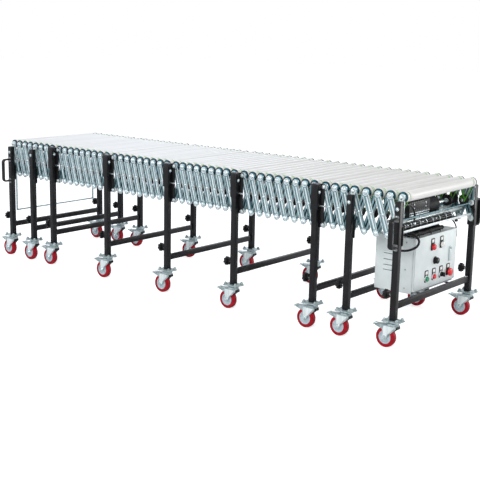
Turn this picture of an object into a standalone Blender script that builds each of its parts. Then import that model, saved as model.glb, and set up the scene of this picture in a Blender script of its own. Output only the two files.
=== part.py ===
"""Powered flexible roller conveyor: 52 rollers in six scissor modules on nine wheeled leg frames.

Metres, +Z up. X runs along the conveyor towards the drive end, Y across it, with the near side at -Y.
The floor is at Z 0 and the origin is at the middle of the object's footprint.
"""

from math import cos, pi, sin

import bmesh
import bpy
from mathutils import Matrix, Vector

# Clearances and counts of sides
seat = 0.0003
cut_overrun = 0.002
sink = 0.001
running_clearance = 0.00005
roller_sides = 8
wheel_sides = 16
round_sides = 8
pin_sides = 6
stem_sides = 4

# Roller bed: scissor cells between neighbouring leg frames, and how far each stretch stands open
cells_by_stretch = (4, 3, 8, 8, 8, 8, 3, 4)
open_shares = (1.0, 1.0, 1.0, 1.0, 1.0, 1.07, 1.07, 1.27)
roller_diameter = 0.050
roller_gap = 0.002
roller_length = 0.676
roller_top = 0.741
axle_flats = 0.011
axle_clearance = 0.0005
module_join = 0.066

# Scissor links, in two layers outside the roller ends
link_width = 0.027
link_thickness = 0.003
link_rise = 0.188
link_side_gap = 0.0095

# Round drive belts and the pulleys under them
belt_width = 0.006
belt_inset = 0.030
pulley_radius = 0.011

# Leg frames
post_width = 0.030
post_wall = 0.0015
post_gap_to_links = 0.0045
narrow_post_drop = 0.041
bracket_drop = 0.0095
bracket_foot_drop = 0.012
bracket_step_drop = 0.138
bracket_half_width = 0.038
bracket_skin = 0.005
plate_thickness = 0.004
hanger_drop = 0.101
guide_drop = 0.038
guide_rise = 0.052
guide_half_width = 0.020
crossbar_height = 0.030
crossbar_depth = 0.020
crossbar_middle = 0.204
inner_leg_clearance = 0.0005
inner_leg_length = 0.330
inner_leg_wall = 0.002
post_cap_depth = 0.010

# Clamp knobs near the foot of each post
knob_height = 0.256
knob_radius = 0.021
knob_depth = 0.018
knob_stem_radius = 0.006
knob_stem_length = 0.022

# Bow handles on the end frames
handle_height = 0.146
handle_drop = 0.220
handle_reach = 0.055
handle_bar = 0.014

# Feet and casters
foot_top = 0.137
foot_length = 0.092
foot_width = 0.072
foot_thickness = 0.006
wheel_radius = 0.050
wheel_width = 0.030
wheel_axle_flats = 0.009
caster_trail = 0.034
swivel_radius = 0.027
swivel_depth = 0.018
fork_crown = 0.004
fork_cheek = 0.003
fork_side_gap = 0.0015
fork_reach_back = 0.009
pedal_reach = 0.103
pedal_width = 0.034
pedal_thickness = 0.003

# Control cabinet, hung on two arms behind the drive end's crossbar
cabinet_depth = 0.223
door_gap = 0.018
cabinet_width = 0.413
cabinet_headroom = 0.0425
cabinet_bottom = 0.2095
cabinet_near_side = -0.148
sheet = 0.0015
door_thickness = 0.012
door_overlap = 0.013
arm_width = 0.020
arm_thickness = 0.004
arm_inset = 0.060

# Controls on the door
button_spacing = 0.0735
button_row_share = 0.215
first_button_share = 0.285
lamp_row_share = 0.775
lamp_spacing = 0.090
first_lamp_share = 0.400
dial_row_share = 0.510
dial_column_share = 0.480
button_radius = 0.011
button_height = 0.012
bezel_radius = 0.015
bezel_height = 0.005
stop_head_radius = 0.019
stop_head_height = 0.014
dial_radius = 0.014
dial_height = 0.020
lever_width = 0.007
lever_height = 0.014
button_travel = 0.003
stop_travel = 0.005
latch_length_share = 0.290
latch_width = 0.018
latch_height = 0.010
latch_column_share = 0.840
latch_row_share = 0.550
stem_depth = 0.008

# Drive under the last rollers
rail_height = 0.012
rail_depth = 0.008
rail_above_pivot = 0.016
rod_radius = 0.007
rod_above_pivot = 0.050
motor_radius = 0.036
motor_length = 0.130
motor_shaft_radius = 0.007
drive_pulley_radius = 0.028
drive_pulley_width = 0.018
pulley_far_side = 0.250
gearbox_near_side = -0.215
gearbox_length = 0.190
gearbox_width = 0.090
gearbox_height = 0.084
gearbox_cable_room = 0.040
motor_bed_thickness = 0.004

# Cables and their glands on the cabinet's sides
gland_radius = 0.010
gland_length = 0.010
control_gland_setback = 0.130
control_gland_share = 0.8533
supply_gland_setback = 0.060
supply_gland_share = 0.6902
control_cable_diameter = 0.012
supply_cable_diameter = 0.007
cable_step_in_diameters = 2.5
route_samples = 12

# Hanger across the free end
strap_width = 0.016
strap_thickness = 0.002
strap_length = 0.2595
tie_radius = 0.003

# Sizes that follow from those above
closed_pitch = roller_diameter + roller_gap
roller_radius = roller_diameter / 2
axle_height = roller_top - roller_radius
pivot_low = axle_height - link_rise
pivot_middle = axle_height - link_rise / 2
link_inner_face = roller_length / 2 + link_side_gap
link_joint_face = link_inner_face + link_thickness
link_outer_face = link_joint_face + link_thickness
post_inner_face = link_outer_face + post_gap_to_links
post_middle = post_inner_face + post_width / 2
post_outer_face = post_inner_face + post_width
plate_inner_face = post_inner_face - plate_thickness
narrow_post_top = roller_top - narrow_post_drop
bracket_top = roller_top - bracket_drop
bracket_bottom = pivot_low - bracket_foot_drop
bracket_step = roller_top - bracket_step_drop
hanger_bottom = roller_top - hanger_drop
guide_bottom = pivot_low - guide_drop
guide_top = pivot_low + guide_rise
handle_bottom = narrow_post_top - handle_drop
cabinet_height = pivot_low - cabinet_headroom - cabinet_bottom
latch_length = cabinet_height * latch_length_share
rod_height = pivot_low + rod_above_pivot
strap_top = pivot_low + link_width / 2
strap_bottom = strap_top - strap_length
foot_bottom = foot_top - foot_thickness
crown_top = foot_bottom - seat - swivel_depth
crown_bottom = crown_top - fork_crown
cheek_inner = wheel_width / 2 + fork_side_gap


def paint(name, colour, roughness, metallic):
    """A plain Principled material from an sRGB hex colour."""
    material = bpy.data.materials.new(name)
    material.use_nodes = True
    shader = material.node_tree.nodes["Principled BSDF"]
    channels = [int(colour[i : i + 2], 16) / 255 for i in (0, 2, 4)]
    linear = [c / 12.92 if c <= 0.04045 else ((c + 0.055) / 1.055) ** 2.4 for c in channels]
    shader.inputs["Base Color"].default_value = (*linear, 1)
    shader.inputs["Roughness"].default_value = roughness
    shader.inputs["Metallic"].default_value = metallic
    return material


def rectangle(u_low, u_high, v_low, v_high):
    """The corners of a rectangle in a plane."""
    return [(u_low, v_low), (u_high, v_low), (u_high, v_high), (u_low, v_high)]


def polygon(u, v, radius, sides):
    """A regular polygon round a point, flat at the bottom, whose flats lie at the radius."""
    corner = radius / cos(pi / sides)
    turns = [2 * pi * (i + 0.5) / sides - pi / 2 for i in range(sides)]
    return [(u + corner * cos(t), v + corner * sin(t)) for t in turns]


def turning_hole(radius):
    """The radius of a hole that clears a round pin's corners while the pin turns in it."""
    return radius / cos(pi / round_sides) + running_clearance


def sweep(shape, outline, low, high, along):
    """Adds an outline, swept along one axis from low to high, to a mesh as a closed shell."""
    order = {"X": (2, 0, 1), "Y": (0, 2, 1), "Z": (0, 1, 2)}[along]
    rings = []
    for end in (low, high):
        points = [(*point, end) for point in outline]
        rings.append([shape.verts.new([point[i] for i in order]) for point in points])
    shape.faces.new(rings[0])
    shape.faces.new(rings[1])
    for i in range(len(outline)):
        j = (i + 1) % len(outline)
        shape.faces.new((rings[0][i], rings[0][j], rings[1][j], rings[1][i]))


def block(shape, x, y, z):
    """Adds a box to a mesh, from its (low, high) along each axis."""
    sweep(shape, rectangle(*x, *y), *z, "Z")


def make_object(name, shape, material=None):
    """A new object from a mesh under construction, with its faces turned outwards."""
    bmesh.ops.recalc_face_normals(shape, faces=shape.faces)
    mesh = bpy.data.meshes.new(name)
    shape.to_mesh(mesh)
    shape.free()
    if material:
        mesh.materials.append(material)
    result = bpy.data.objects.new(name, mesh)
    bpy.context.scene.collection.objects.link(result)
    return result


def fuse(name, material, shape, steps):
    """One solid: a shape that others are joined to or cut from, step by step, as UNION or DIFFERENCE."""
    base = make_object(name, shape, material)
    helpers = []
    for number, (operation, other) in enumerate(steps):
        helper = make_object(f"{name}_helper_{number}", other)
        helper.hide_render = True
        helper.display_type = "WIRE"
        step = base.modifiers.new(f"step_{number}", "BOOLEAN")
        step.object = helper
        step.operation = operation
        step.solver = "EXACT"
        helpers.append(helper)
    bpy.context.view_layer.update()
    evaluated = base.evaluated_get(bpy.context.evaluated_depsgraph_get())
    joined = bpy.data.meshes.new_from_object(evaluated)
    base.modifiers.clear()
    base.data = joined
    joined.name = name
    for helper in helpers:
        bpy.data.objects.remove(helper)
    return base


def set_origin(piece, point):
    """Puts a piece's origin on a point, such as its joint's axis, without moving the piece."""
    piece.data.transform(Matrix.Translation(-Vector(point)))
    piece.location = point
    return piece


def shade_round(piece):
    """Smooth shading, with an edge kept sharp past 40 degrees."""
    piece.data.shade_smooth()
    piece.data.set_sharp_from_angle(angle=pi * 2 / 9)


def lay_out():
    """X of the axles of each module and of each leg frame, with the object's footprint centred."""
    x = 0.0
    modules = [[x]]
    frames = [x]
    last = len(cells_by_stretch) - 1
    for stretch, (cells, share) in enumerate(zip(cells_by_stretch, open_shares)):
        for _ in range(cells):
            x += closed_pitch * share
            modules[-1].append(x)
        if is_bracket_frame(stretch + 1):
            frames.append(x + module_join / 2)
            x += module_join
            modules.append([x])
        else:
            frames.append(x)
    centre = (frames[0] - pedal_reach + frames[last + 1] + foot_length / 2) / 2
    return [[a - centre for a in axles] for axles in modules], [f - centre for f in frames]


def is_bracket_frame(number):
    """Whether a leg frame, counted from 0 at the free end, joins two modules."""
    return 2 <= number <= len(cells_by_stretch) - 2


def link_outline(start, end):
    """A flat link from pivot to pivot in XZ, square ended half a width past each."""
    start, end = Vector(start), Vector(end)
    along = (end - start).normalized() * link_width / 2
    across = Vector((-along.y, along.x))
    start, end = start - along, end + along
    return [start - across, end - across, end + across, start + across]


def lattice(number, axles, material, capped, railed):
    """The links of one module on both sides, with the hexagonal axles that join the sides.

    The outer layer leans down towards the drive end and the inner layer up towards it. A capped axle
    has a short upright link inside the others, and a railed lattice a rail across its last low pivots.
    """
    outer, inner, shafts = bmesh.new(), bmesh.new(), bmesh.new()
    for side in (-1, 1):
        for left, right in zip(axles, axles[1:]):
            falling = link_outline((left, axle_height), (right, pivot_low))
            rising = link_outline((left, pivot_low), (right, axle_height))
            sweep(outer, falling, side * link_joint_face, side * link_outer_face, "Y")
            sweep(inner, rising, side * link_inner_face, side * link_joint_face, "Y")
        for x in capped:
            upright = link_outline((x, pivot_middle), (x, axle_height))
            sweep(outer, upright, side * (link_inner_face - link_thickness), side * link_inner_face, "Y")
    for x in axles:
        hexagon = polygon(x, axle_height, axle_flats / 2, pin_sides)
        sweep(shafts, hexagon, -link_joint_face - sink, link_joint_face + sink, "Y")
    if railed:
        x, reach = axles[-1], link_joint_face + sink
        low = pivot_low + rail_above_pivot
        block(shafts, (x - rail_depth / 2, x + rail_depth / 2), (-reach, reach), (low, low + rail_height))
    return fuse(f"scissor_lattice_{number}", material, outer, [("UNION", inner), ("UNION", shafts)])


def pulley_side(gap):
    """Which side of the conveyor the belt over a roller gap runs on: they take turns."""
    return -1 if gap % 2 else 1


def roller_set(number, axles, material):
    """The rollers of one module, linked by round belts that dip under a pulley in each gap."""
    tubes, belts, bores = bmesh.new(), bmesh.new(), bmesh.new()
    half = roller_length / 2
    for x in axles:
        sweep(tubes, polygon(x, axle_height, roller_radius, roller_sides), -half, half, "Y")
        bore = polygon(x, axle_height, axle_flats / 2 + axle_clearance, pin_sides)
        sweep(bores, bore, -half - cut_overrun, half + cut_overrun, "Y")
    shoulder = axle_height - roller_radius / 2
    half_belt = belt_width / 2
    for gap, (left, right) in enumerate(zip(axles, axles[1:])):
        middle = (left + right) / 2
        strands = [
            (left - half_belt, shoulder),
            (middle - half_belt, pivot_middle - pulley_radius),
            (middle + half_belt, pivot_middle - pulley_radius),
            (right + half_belt, shoulder),
            (right - half_belt, shoulder),
            (middle, pivot_middle + pulley_radius),
            (left + half_belt, shoulder),
        ]
        y = pulley_side(gap) * (half - belt_inset)
        sweep(belts, strands, y - half_belt, y + half_belt, "Y")
    return fuse(f"roller_set_{number}", material, tubes, [("UNION", belts), ("DIFFERENCE", bores)])


def fork_steps(x, sides, lift=0.0):
    """The fork of a caster at each side, trailing towards -X, as steps that join it to something.

    The swivel head's top can be lifted, to reach into a foot plate that it is joined to.
    """
    forks, slots, fittings, heads = (bmesh.new() for _ in range(4))
    axle_x = x - caster_trail
    half_width = cheek_inner + fork_cheek
    for side in sides:
        y = side * post_middle
        sweep(forks, fork_outline(x, axle_x), y - half_width, y + half_width, "Y")
        back, front = axle_x - fork_reach_back - cut_overrun, x + swivel_radius + cut_overrun
        block(slots, (back, front), (y - cheek_inner, y + cheek_inner), (0, crown_bottom))
        axle = polygon(axle_x, wheel_radius, wheel_axle_flats / 2, round_sides)
        sweep(fittings, axle, y - cheek_inner - sink, y + cheek_inner + sink, "Y")
        pedal = (y - pedal_width / 2, y + pedal_width / 2)
        low = crown_top - pedal_thickness / 2
        block(fittings, (x - pedal_reach, x - swivel_radius), pedal, (low, low + pedal_thickness))
        head = polygon(x, y, swivel_radius - sink, round_sides)
        sweep(heads, head, crown_top - sink, foot_bottom - seat + lift, "Z")
    return [("UNION", forks), ("DIFFERENCE", slots), ("UNION", fittings), ("UNION", heads)]


def fork_outline(x, axle_x):
    """A fork in XZ: wide at the crown, narrow round the wheel's axle."""
    boss = wheel_axle_flats
    return [
        (axle_x - fork_reach_back, crown_top),
        (axle_x - boss, wheel_radius),
        (axle_x - boss / 2, wheel_radius - boss),
        (axle_x + boss / 2, wheel_radius - boss),
        (axle_x + boss, wheel_radius),
        (x + swivel_radius, crown_top),
    ]


def foot_plate(shape, x, side, low, high):
    """Adds the plate under a post that a caster is bolted to."""
    y = side * post_middle
    length = (x - foot_length / 2, x + foot_length / 2)
    block(shape, length, (y - foot_width / 2, y + foot_width / 2), (low, high))


def clamp_knobs(knobs, stems, x, side):
    """Adds the knob on the -X face of a post to one mesh, and its stem to another."""
    y = side * post_middle
    face = x - post_width / 2
    knob_face = face - knob_stem_length
    sweep(knobs, polygon(y, knob_height, knob_radius, round_sides), knob_face - knob_depth, knob_face, "X")
    stem = polygon(y, knob_height, knob_stem_radius, stem_sides)
    sweep(stems, stem, knob_face - sink, face + sink, "X")


def bow_handle(shape, x, side):
    """Adds a bow handle on the outer face of a post, as one bent bar."""
    foot = post_outer_face - sink
    grip = post_outer_face + handle_reach
    low, high = handle_bottom, handle_bottom + handle_height
    inside, corner = grip - handle_bar, handle_bar / 2
    outline = [
        (foot, low),
        (grip - handle_bar, low),
        (grip, low + handle_bar),
        (grip, high - handle_bar),
        (grip - handle_bar, high),
        (foot, high),
        (foot, high - handle_bar),
        (inside - corner, high - handle_bar),
        (inside, high - handle_bar - corner),
        (inside, low + handle_bar + corner),
        (inside - corner, low + handle_bar),
        (foot, low + handle_bar),
    ]
    sweep(shape, [(side * y, z) for y, z in outline], x - handle_bar / 2, x + handle_bar / 2, "X")


def link_plate(shape, x, side, half_width, low, high):
    """Adds a plate on the inner face of a post, just outside the links it carries."""
    y = sorted((side * plate_inner_face, side * (post_inner_face + sink)))
    block(shape, (x - half_width, x + half_width), y, (low, high))


def post_sleeve(shape, x, side, skin, low, high):
    """Adds a sleeve round a post, which stops short of the plate on its inner side."""
    y = sorted((side * (post_inner_face + sink), side * (post_outer_face + skin)))
    reach = post_width / 2 + skin
    block(shape, (x - reach, x + reach), y, (low, high))


def leg_frame(number, x, material):
    """Two posts with a crossbar, and the plates, knobs, handles, feet and forks that are fixed to them.

    The frames at the two ends are hollow below, for the inner legs that slide in them.
    """
    last = len(cells_by_stretch)
    at_end = number in (0, last)
    bracketed = is_bracket_frame(number)
    posts, bar, knobs, stems, plates, trim = (bmesh.new() for _ in range(6))
    post_top = bracket_top if bracketed else narrow_post_top
    bar_z = (crossbar_middle - crossbar_height / 2, crossbar_middle + crossbar_height / 2)
    reach = post_inner_face + sink
    block(bar, (x - crossbar_depth / 2, x + crossbar_depth / 2), (-reach, reach), bar_z)
    for side in (-1, 1):
        y = sorted((side * post_inner_face, side * post_outer_face))
        block(posts, (x - post_width / 2, x + post_width / 2), y, (foot_top + seat, post_top))
        clamp_knobs(knobs, stems, x, side)
        if bracketed:
            post_sleeve(trim, x, side, bracket_skin, bracket_step, post_top - sink)
            link_plate(plates, x, side, bracket_half_width, bracket_bottom, post_top - 2 * sink)
        else:
            link_plate(plates, x, side, post_width / 2 - sink, hanger_bottom, roller_top - sink)
            link_plate(plates, x, side, guide_half_width, guide_bottom, guide_top)
    steps = [("UNION", bar), ("UNION", knobs), ("UNION", stems), ("UNION", plates)]
    if at_end:
        sockets = bmesh.new()
        for side in (-1, 1):
            bow_handle(trim, x, side)
            leg_socket(sockets, x, side)
        steps += [("UNION", trim), ("DIFFERENCE", sockets)]
    else:
        feet = bmesh.new()
        for side in (-1, 1):
            foot_plate(feet, x, side, foot_bottom, foot_top + seat + sink)
        steps += [("UNION", feet)] + fork_steps(x, (-1, 1), lift=seat + sink)
        if bracketed:
            steps.append(("UNION", trim))
    if number == last:
        arms = bmesh.new()
        cabinet_arms(arms, x)
        steps.append(("UNION", arms))
    return set_origin(fuse(f"leg_frame_{number + 1}", material, posts, steps), (x, 0, 0))


def leg_socket(shape, x, side):
    """Adds the hollow of a post, open at its foot."""
    y = side * post_middle
    half = post_width / 2 - post_wall
    top = narrow_post_top - post_cap_depth
    block(shape, (x - half, x + half), (y - half, y + half), (foot_top - cut_overrun, top))


def inner_leg(name, x, side, material):
    """The square tube that slides in an end frame's post, with its foot plate."""
    tube, hollow, plate = (bmesh.new() for _ in range(3))
    y = side * post_middle
    half = post_width / 2 - post_wall - inner_leg_clearance
    bore = half - inner_leg_wall
    top = foot_top + inner_leg_length
    foot_plate(plate, x, side, foot_bottom, foot_top)
    block(tube, (x - half, x + half), (y - half, y + half), (foot_top - sink, top))
    block(hollow, (x - bore, x + bore), (y - bore, y + bore), (foot_top, top + cut_overrun))
    leg = fuse(name, material, plate, [("UNION", tube), ("DIFFERENCE", hollow)])
    return set_origin(leg, (x, y, foot_top))


def wheel(name, x, side, material):
    """A caster wheel, bored for the fork's axle."""
    tyre, bore = bmesh.new(), bmesh.new()
    y = side * post_middle
    axle_x = x - caster_trail
    rim = polygon(axle_x, wheel_radius, wheel_radius, wheel_sides)
    sweep(tyre, rim, y - wheel_width / 2, y + wheel_width / 2, "Y")
    hole = polygon(axle_x, wheel_radius, turning_hole(wheel_axle_flats / 2), round_sides)
    sweep(bore, hole, y - wheel_width, y + wheel_width, "Y")
    result = fuse(name, material, tyre, [("DIFFERENCE", bore)])
    shade_round(result)
    return set_origin(result, (axle_x, y, wheel_radius))


def caster(name, x, side, material):
    """The swivelling fork of an end frame's caster, on the swivel axis above it."""
    (_, fork), *steps = fork_steps(x, (side,))
    return set_origin(fuse(name, material, fork, steps), (x, side * post_middle, foot_bottom))


def cabinet_places(frame_x):
    """The cabinet's faces: X of the door's front and back and of the cabinet's back, and Y of its sides."""
    front = frame_x - crossbar_depth / 2 - door_gap
    return front, front - door_thickness, front - cabinet_depth, cabinet_near_side, cabinet_near_side + cabinet_width


def cabinet_body(frame_x, material):
    """A sheet steel box, open at the front, with a cable gland on each side."""
    _, front, back, near, far = cabinet_places(frame_x)
    front -= seat
    top = cabinet_bottom + cabinet_height
    case, room, glands = bmesh.new(), bmesh.new(), bmesh.new()
    block(case, (back, front), (near, far), (cabinet_bottom, top))
    block(
        room,
        (back + sheet, front + cut_overrun),
        (near + sheet, far - sheet),
        (cabinet_bottom + sheet, top - sheet),
    )
    ends = (
        (near, -1, control_gland_setback, control_gland_share),
        (far, 1, supply_gland_setback, supply_gland_share),
    )
    for face, side, setback, share in ends:
        span = sorted((face - side * sheet / 2, face + side * gland_length))
        height = cabinet_bottom + cabinet_height * share
        sweep(glands, polygon(frame_x - setback, height, gland_radius, pin_sides), *span, "Y")
    return fuse("cabinet_body", material, case, [("UNION", glands), ("DIFFERENCE", room)])


def control_places():
    """Y and Z of each control on the door."""
    row = cabinet_bottom + cabinet_height * button_row_share
    first = cabinet_near_side + cabinet_width * first_button_share
    names = ("start_button", "stop_button", "mode_selector", "emergency_stop")
    places = {name: (first + i * button_spacing, row) for i, name in enumerate(names)}
    dial_y = cabinet_near_side + cabinet_width * dial_column_share
    places["speed_dial"] = (dial_y, cabinet_bottom + cabinet_height * dial_row_share)
    return places


def latch_place():
    """Y and Z of the door latch's pivot, at its top end."""
    y = cabinet_near_side + cabinet_width * latch_column_share
    middle = cabinet_bottom + cabinet_height * latch_row_share
    return y, middle + latch_length / 2 - latch_width / 2


def cabinet_door(frame_x, material):
    """A folded steel door, hinged at its near edge, with bezels round its controls and two lamps."""
    front, back, _, near, far = cabinet_places(frame_x)
    low, high = cabinet_bottom + door_overlap, cabinet_bottom + cabinet_height
    pan, hollow, bezels, lamps, holes = (bmesh.new() for _ in range(5))
    block(pan, (back, front), (near, far), (low, high))
    block(hollow, (back - cut_overrun, front - sheet), (near + sheet, far - sheet), (low + sheet, high - sheet))
    places = list(control_places().values())
    for y, z in places:
        sweep(bezels, polygon(y, z, bezel_radius, round_sides), front - sheet / 2, front + bezel_height, "X")
    first_lamp = cabinet_near_side + cabinet_width * first_lamp_share
    lamp_z = cabinet_bottom + cabinet_height * lamp_row_share
    for i in range(2):
        lamp = polygon(first_lamp + i * lamp_spacing, lamp_z, button_radius, round_sides)
        sweep(lamps, lamp, front - sheet / 2, front + button_height, "X")
    for y, z in places + [latch_place()]:
        hole = polygon(y, z, turning_hole(button_radius), round_sides)
        sweep(holes, hole, front - door_thickness, front + bezel_height + cut_overrun, "X")
    steps = [("DIFFERENCE", hollow), ("UNION", bezels), ("UNION", lamps), ("DIFFERENCE", holes)]
    return set_origin(fuse("cabinet_door", material, pan, steps), (back, near, low))


def control(name, frame_x, material, head=()):
    """A control's round stem through its hole in the door, joined to the outlines of its head."""
    front = cabinet_places(frame_x)[0]
    y, z = control_places()[name]
    stem = bmesh.new()
    reach = front + button_height
    sweep(stem, polygon(y, z, button_radius, round_sides), front - stem_depth, reach, "X")
    steps = []
    for outline, low, high in head:
        shape = bmesh.new()
        sweep(shape, [(y + u, z + v) for u, v in outline], front + low, front + high, "X")
        steps.append(("UNION", shape))
    result = fuse(name, material, stem, steps)
    shade_round(result)
    return set_origin(result, (front, y, z))


def door_latch(frame_x, material):
    """A flat swing handle on the door, on a stem through its top end."""
    front = cabinet_places(frame_x)[0]
    y, z = latch_place()
    handle, stem = bmesh.new(), bmesh.new()
    sides = (y - latch_width / 2, y + latch_width / 2)
    ends = (z + latch_width / 2 - latch_length, z + latch_width / 2)
    block(handle, (front + seat, front + latch_height), sides, ends)
    half = latch_width / 2 - sink
    sweep(stem, polygon(y, z, min(button_radius, half), round_sides), front - stem_depth, front + seat + sink, "X")
    return set_origin(fuse("door_latch", material, handle, [("UNION", stem)]), (front, y, z))


def cabinet_arms(shape, frame_x):
    """Adds two flat arms that run from the drive end's crossbar, under the cabinet."""
    _, _, back, near, far = cabinet_places(frame_x)
    top = cabinet_bottom - seat
    for y in (near + arm_inset, far - arm_inset):
        span = (y - arm_width / 2, y + arm_width / 2)
        block(shape, (back + arm_inset / 2, frame_x), span, (top - arm_thickness, top))


def rod_places(axles):
    """X of the drive's two cross rods: where the inner links of the last two cells pass their height."""
    share = (rod_height - pivot_low) / link_rise
    return [left + share * (right - left) for left, right in zip(axles[-3:], axles[-2:])]


def drive_carrier(axles, material):
    """Two round rods between the side lattices, with the bed plate that the drive motor stands on."""
    rods, bed = bmesh.new(), bmesh.new()
    places = rod_places(axles)
    for x in places:
        half = link_inner_face - seat
        sweep(rods, polygon(x, rod_height, rod_radius, round_sides), -half, half, "Y")
    bed_bottom = rod_height + rod_radius - sink
    block(
        bed,
        (places[0] - rod_radius, places[1] + rod_radius),
        (gearbox_near_side + gearbox_cable_room, gearbox_near_side + gearbox_length + motor_length),
        (bed_bottom, bed_bottom + motor_bed_thickness),
    )
    return fuse("drive_carrier", material, rods, [("UNION", bed)])


def drive_motor(axles, material):
    """The drive: a gearbox block, a round motor beside it, and the pulley on its shaft."""
    places = rod_places(axles)
    x = sum(places) / 2
    low = rod_height + rod_radius - sink + motor_bed_thickness + seat
    gearbox, body, shaft, pulley = (bmesh.new() for _ in range(4))
    span = (x - gearbox_width / 2, x + gearbox_width / 2)
    end = gearbox_near_side + gearbox_length
    block(gearbox, span, (gearbox_near_side, end), (low, low + gearbox_height))
    z = low + motor_radius
    motor_end = end + motor_length
    sweep(body, polygon(x, z, motor_radius, round_sides), end - sink, motor_end, "Y")
    sweep(shaft, polygon(x, z, motor_shaft_radius, pin_sides), motor_end - sink, pulley_far_side, "Y")
    face = pulley_far_side - drive_pulley_width
    sweep(pulley, polygon(x, z, drive_pulley_radius, round_sides), face, pulley_far_side - sink, "Y")
    return fuse("drive_motor", material, gearbox, [("UNION", part) for part in (body, shaft, pulley)])


def free_end_hanger(x, material):
    """A thin strap down each side of the free end, joined by a rod across."""
    straps, rod = bmesh.new(), bmesh.new()
    x -= strap_width
    for side in (-1, 1):
        outer = link_inner_face - seat
        faces = sorted((side * (outer - strap_thickness), side * outer))
        block(straps, (x - strap_width / 2, x + strap_width / 2), faces, (strap_bottom, strap_top))
    reach = link_inner_face - seat - strap_thickness / 2
    sweep(rod, polygon(x, strap_bottom + 2 * tie_radius, tie_radius, pin_sides), -reach, reach, "Y")
    return fuse("free_end_hanger", material, straps, [("UNION", rod)])


def smooth_route(points, step):
    """Points at even steps along a smooth curve through a route, whose two ends are straight leads."""
    points = [Vector(p) for p in points]
    fine = []
    for a, b, c, d in zip(points, points[1:], points[2:], points[3:]):
        for i in range(route_samples):
            t = i / route_samples
            fine.append((b * 2 + (c - a) * t + (a * 2 - b * 5 + c * 4 - d) * t**2 + (b * 3 - a - c * 3 + d) * t**3) / 2)
    fine.append(points[-2])
    lengths = [0.0]
    for a, b in zip(fine, fine[1:]):
        lengths.append(lengths[-1] + (b - a).length)
    count = max(round(lengths[-1] / step), 2)
    even = [points[0]]
    at = 0
    for i in range(count + 1):
        target = lengths[-1] * i / count
        while at < len(fine) - 2 and lengths[at + 1] < target:
            at += 1
        share = (target - lengths[at]) / (lengths[at + 1] - lengths[at])
        even.append(fine[at].lerp(fine[at + 1], share))
    even.append(points[-1])
    return even, sum((b - a).length for a, b in zip(even, even[1:]))


def cable(name, points, diameter, material):
    """A cable along a route, as a curve with a round bevel and closed ends."""
    even, length = smooth_route(points, cable_step_in_diameters * diameter)
    curve = bpy.data.curves.new(name, "CURVE")
    curve.dimensions = "3D"
    curve.bevel_depth = diameter / 2
    curve.bevel_resolution = 2
    curve.use_fill_caps = True
    spline = curve.splines.new("POLY")
    spline.points.add(len(even) - 1)
    for point, place in zip(spline.points, even):
        point.co = (*place, 1)
    curve.materials.append(material)
    result = bpy.data.objects.new(name, curve)
    bpy.context.scene.collection.objects.link(result)
    print(f"{name}: {length:.3f} m long")
    return result


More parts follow.
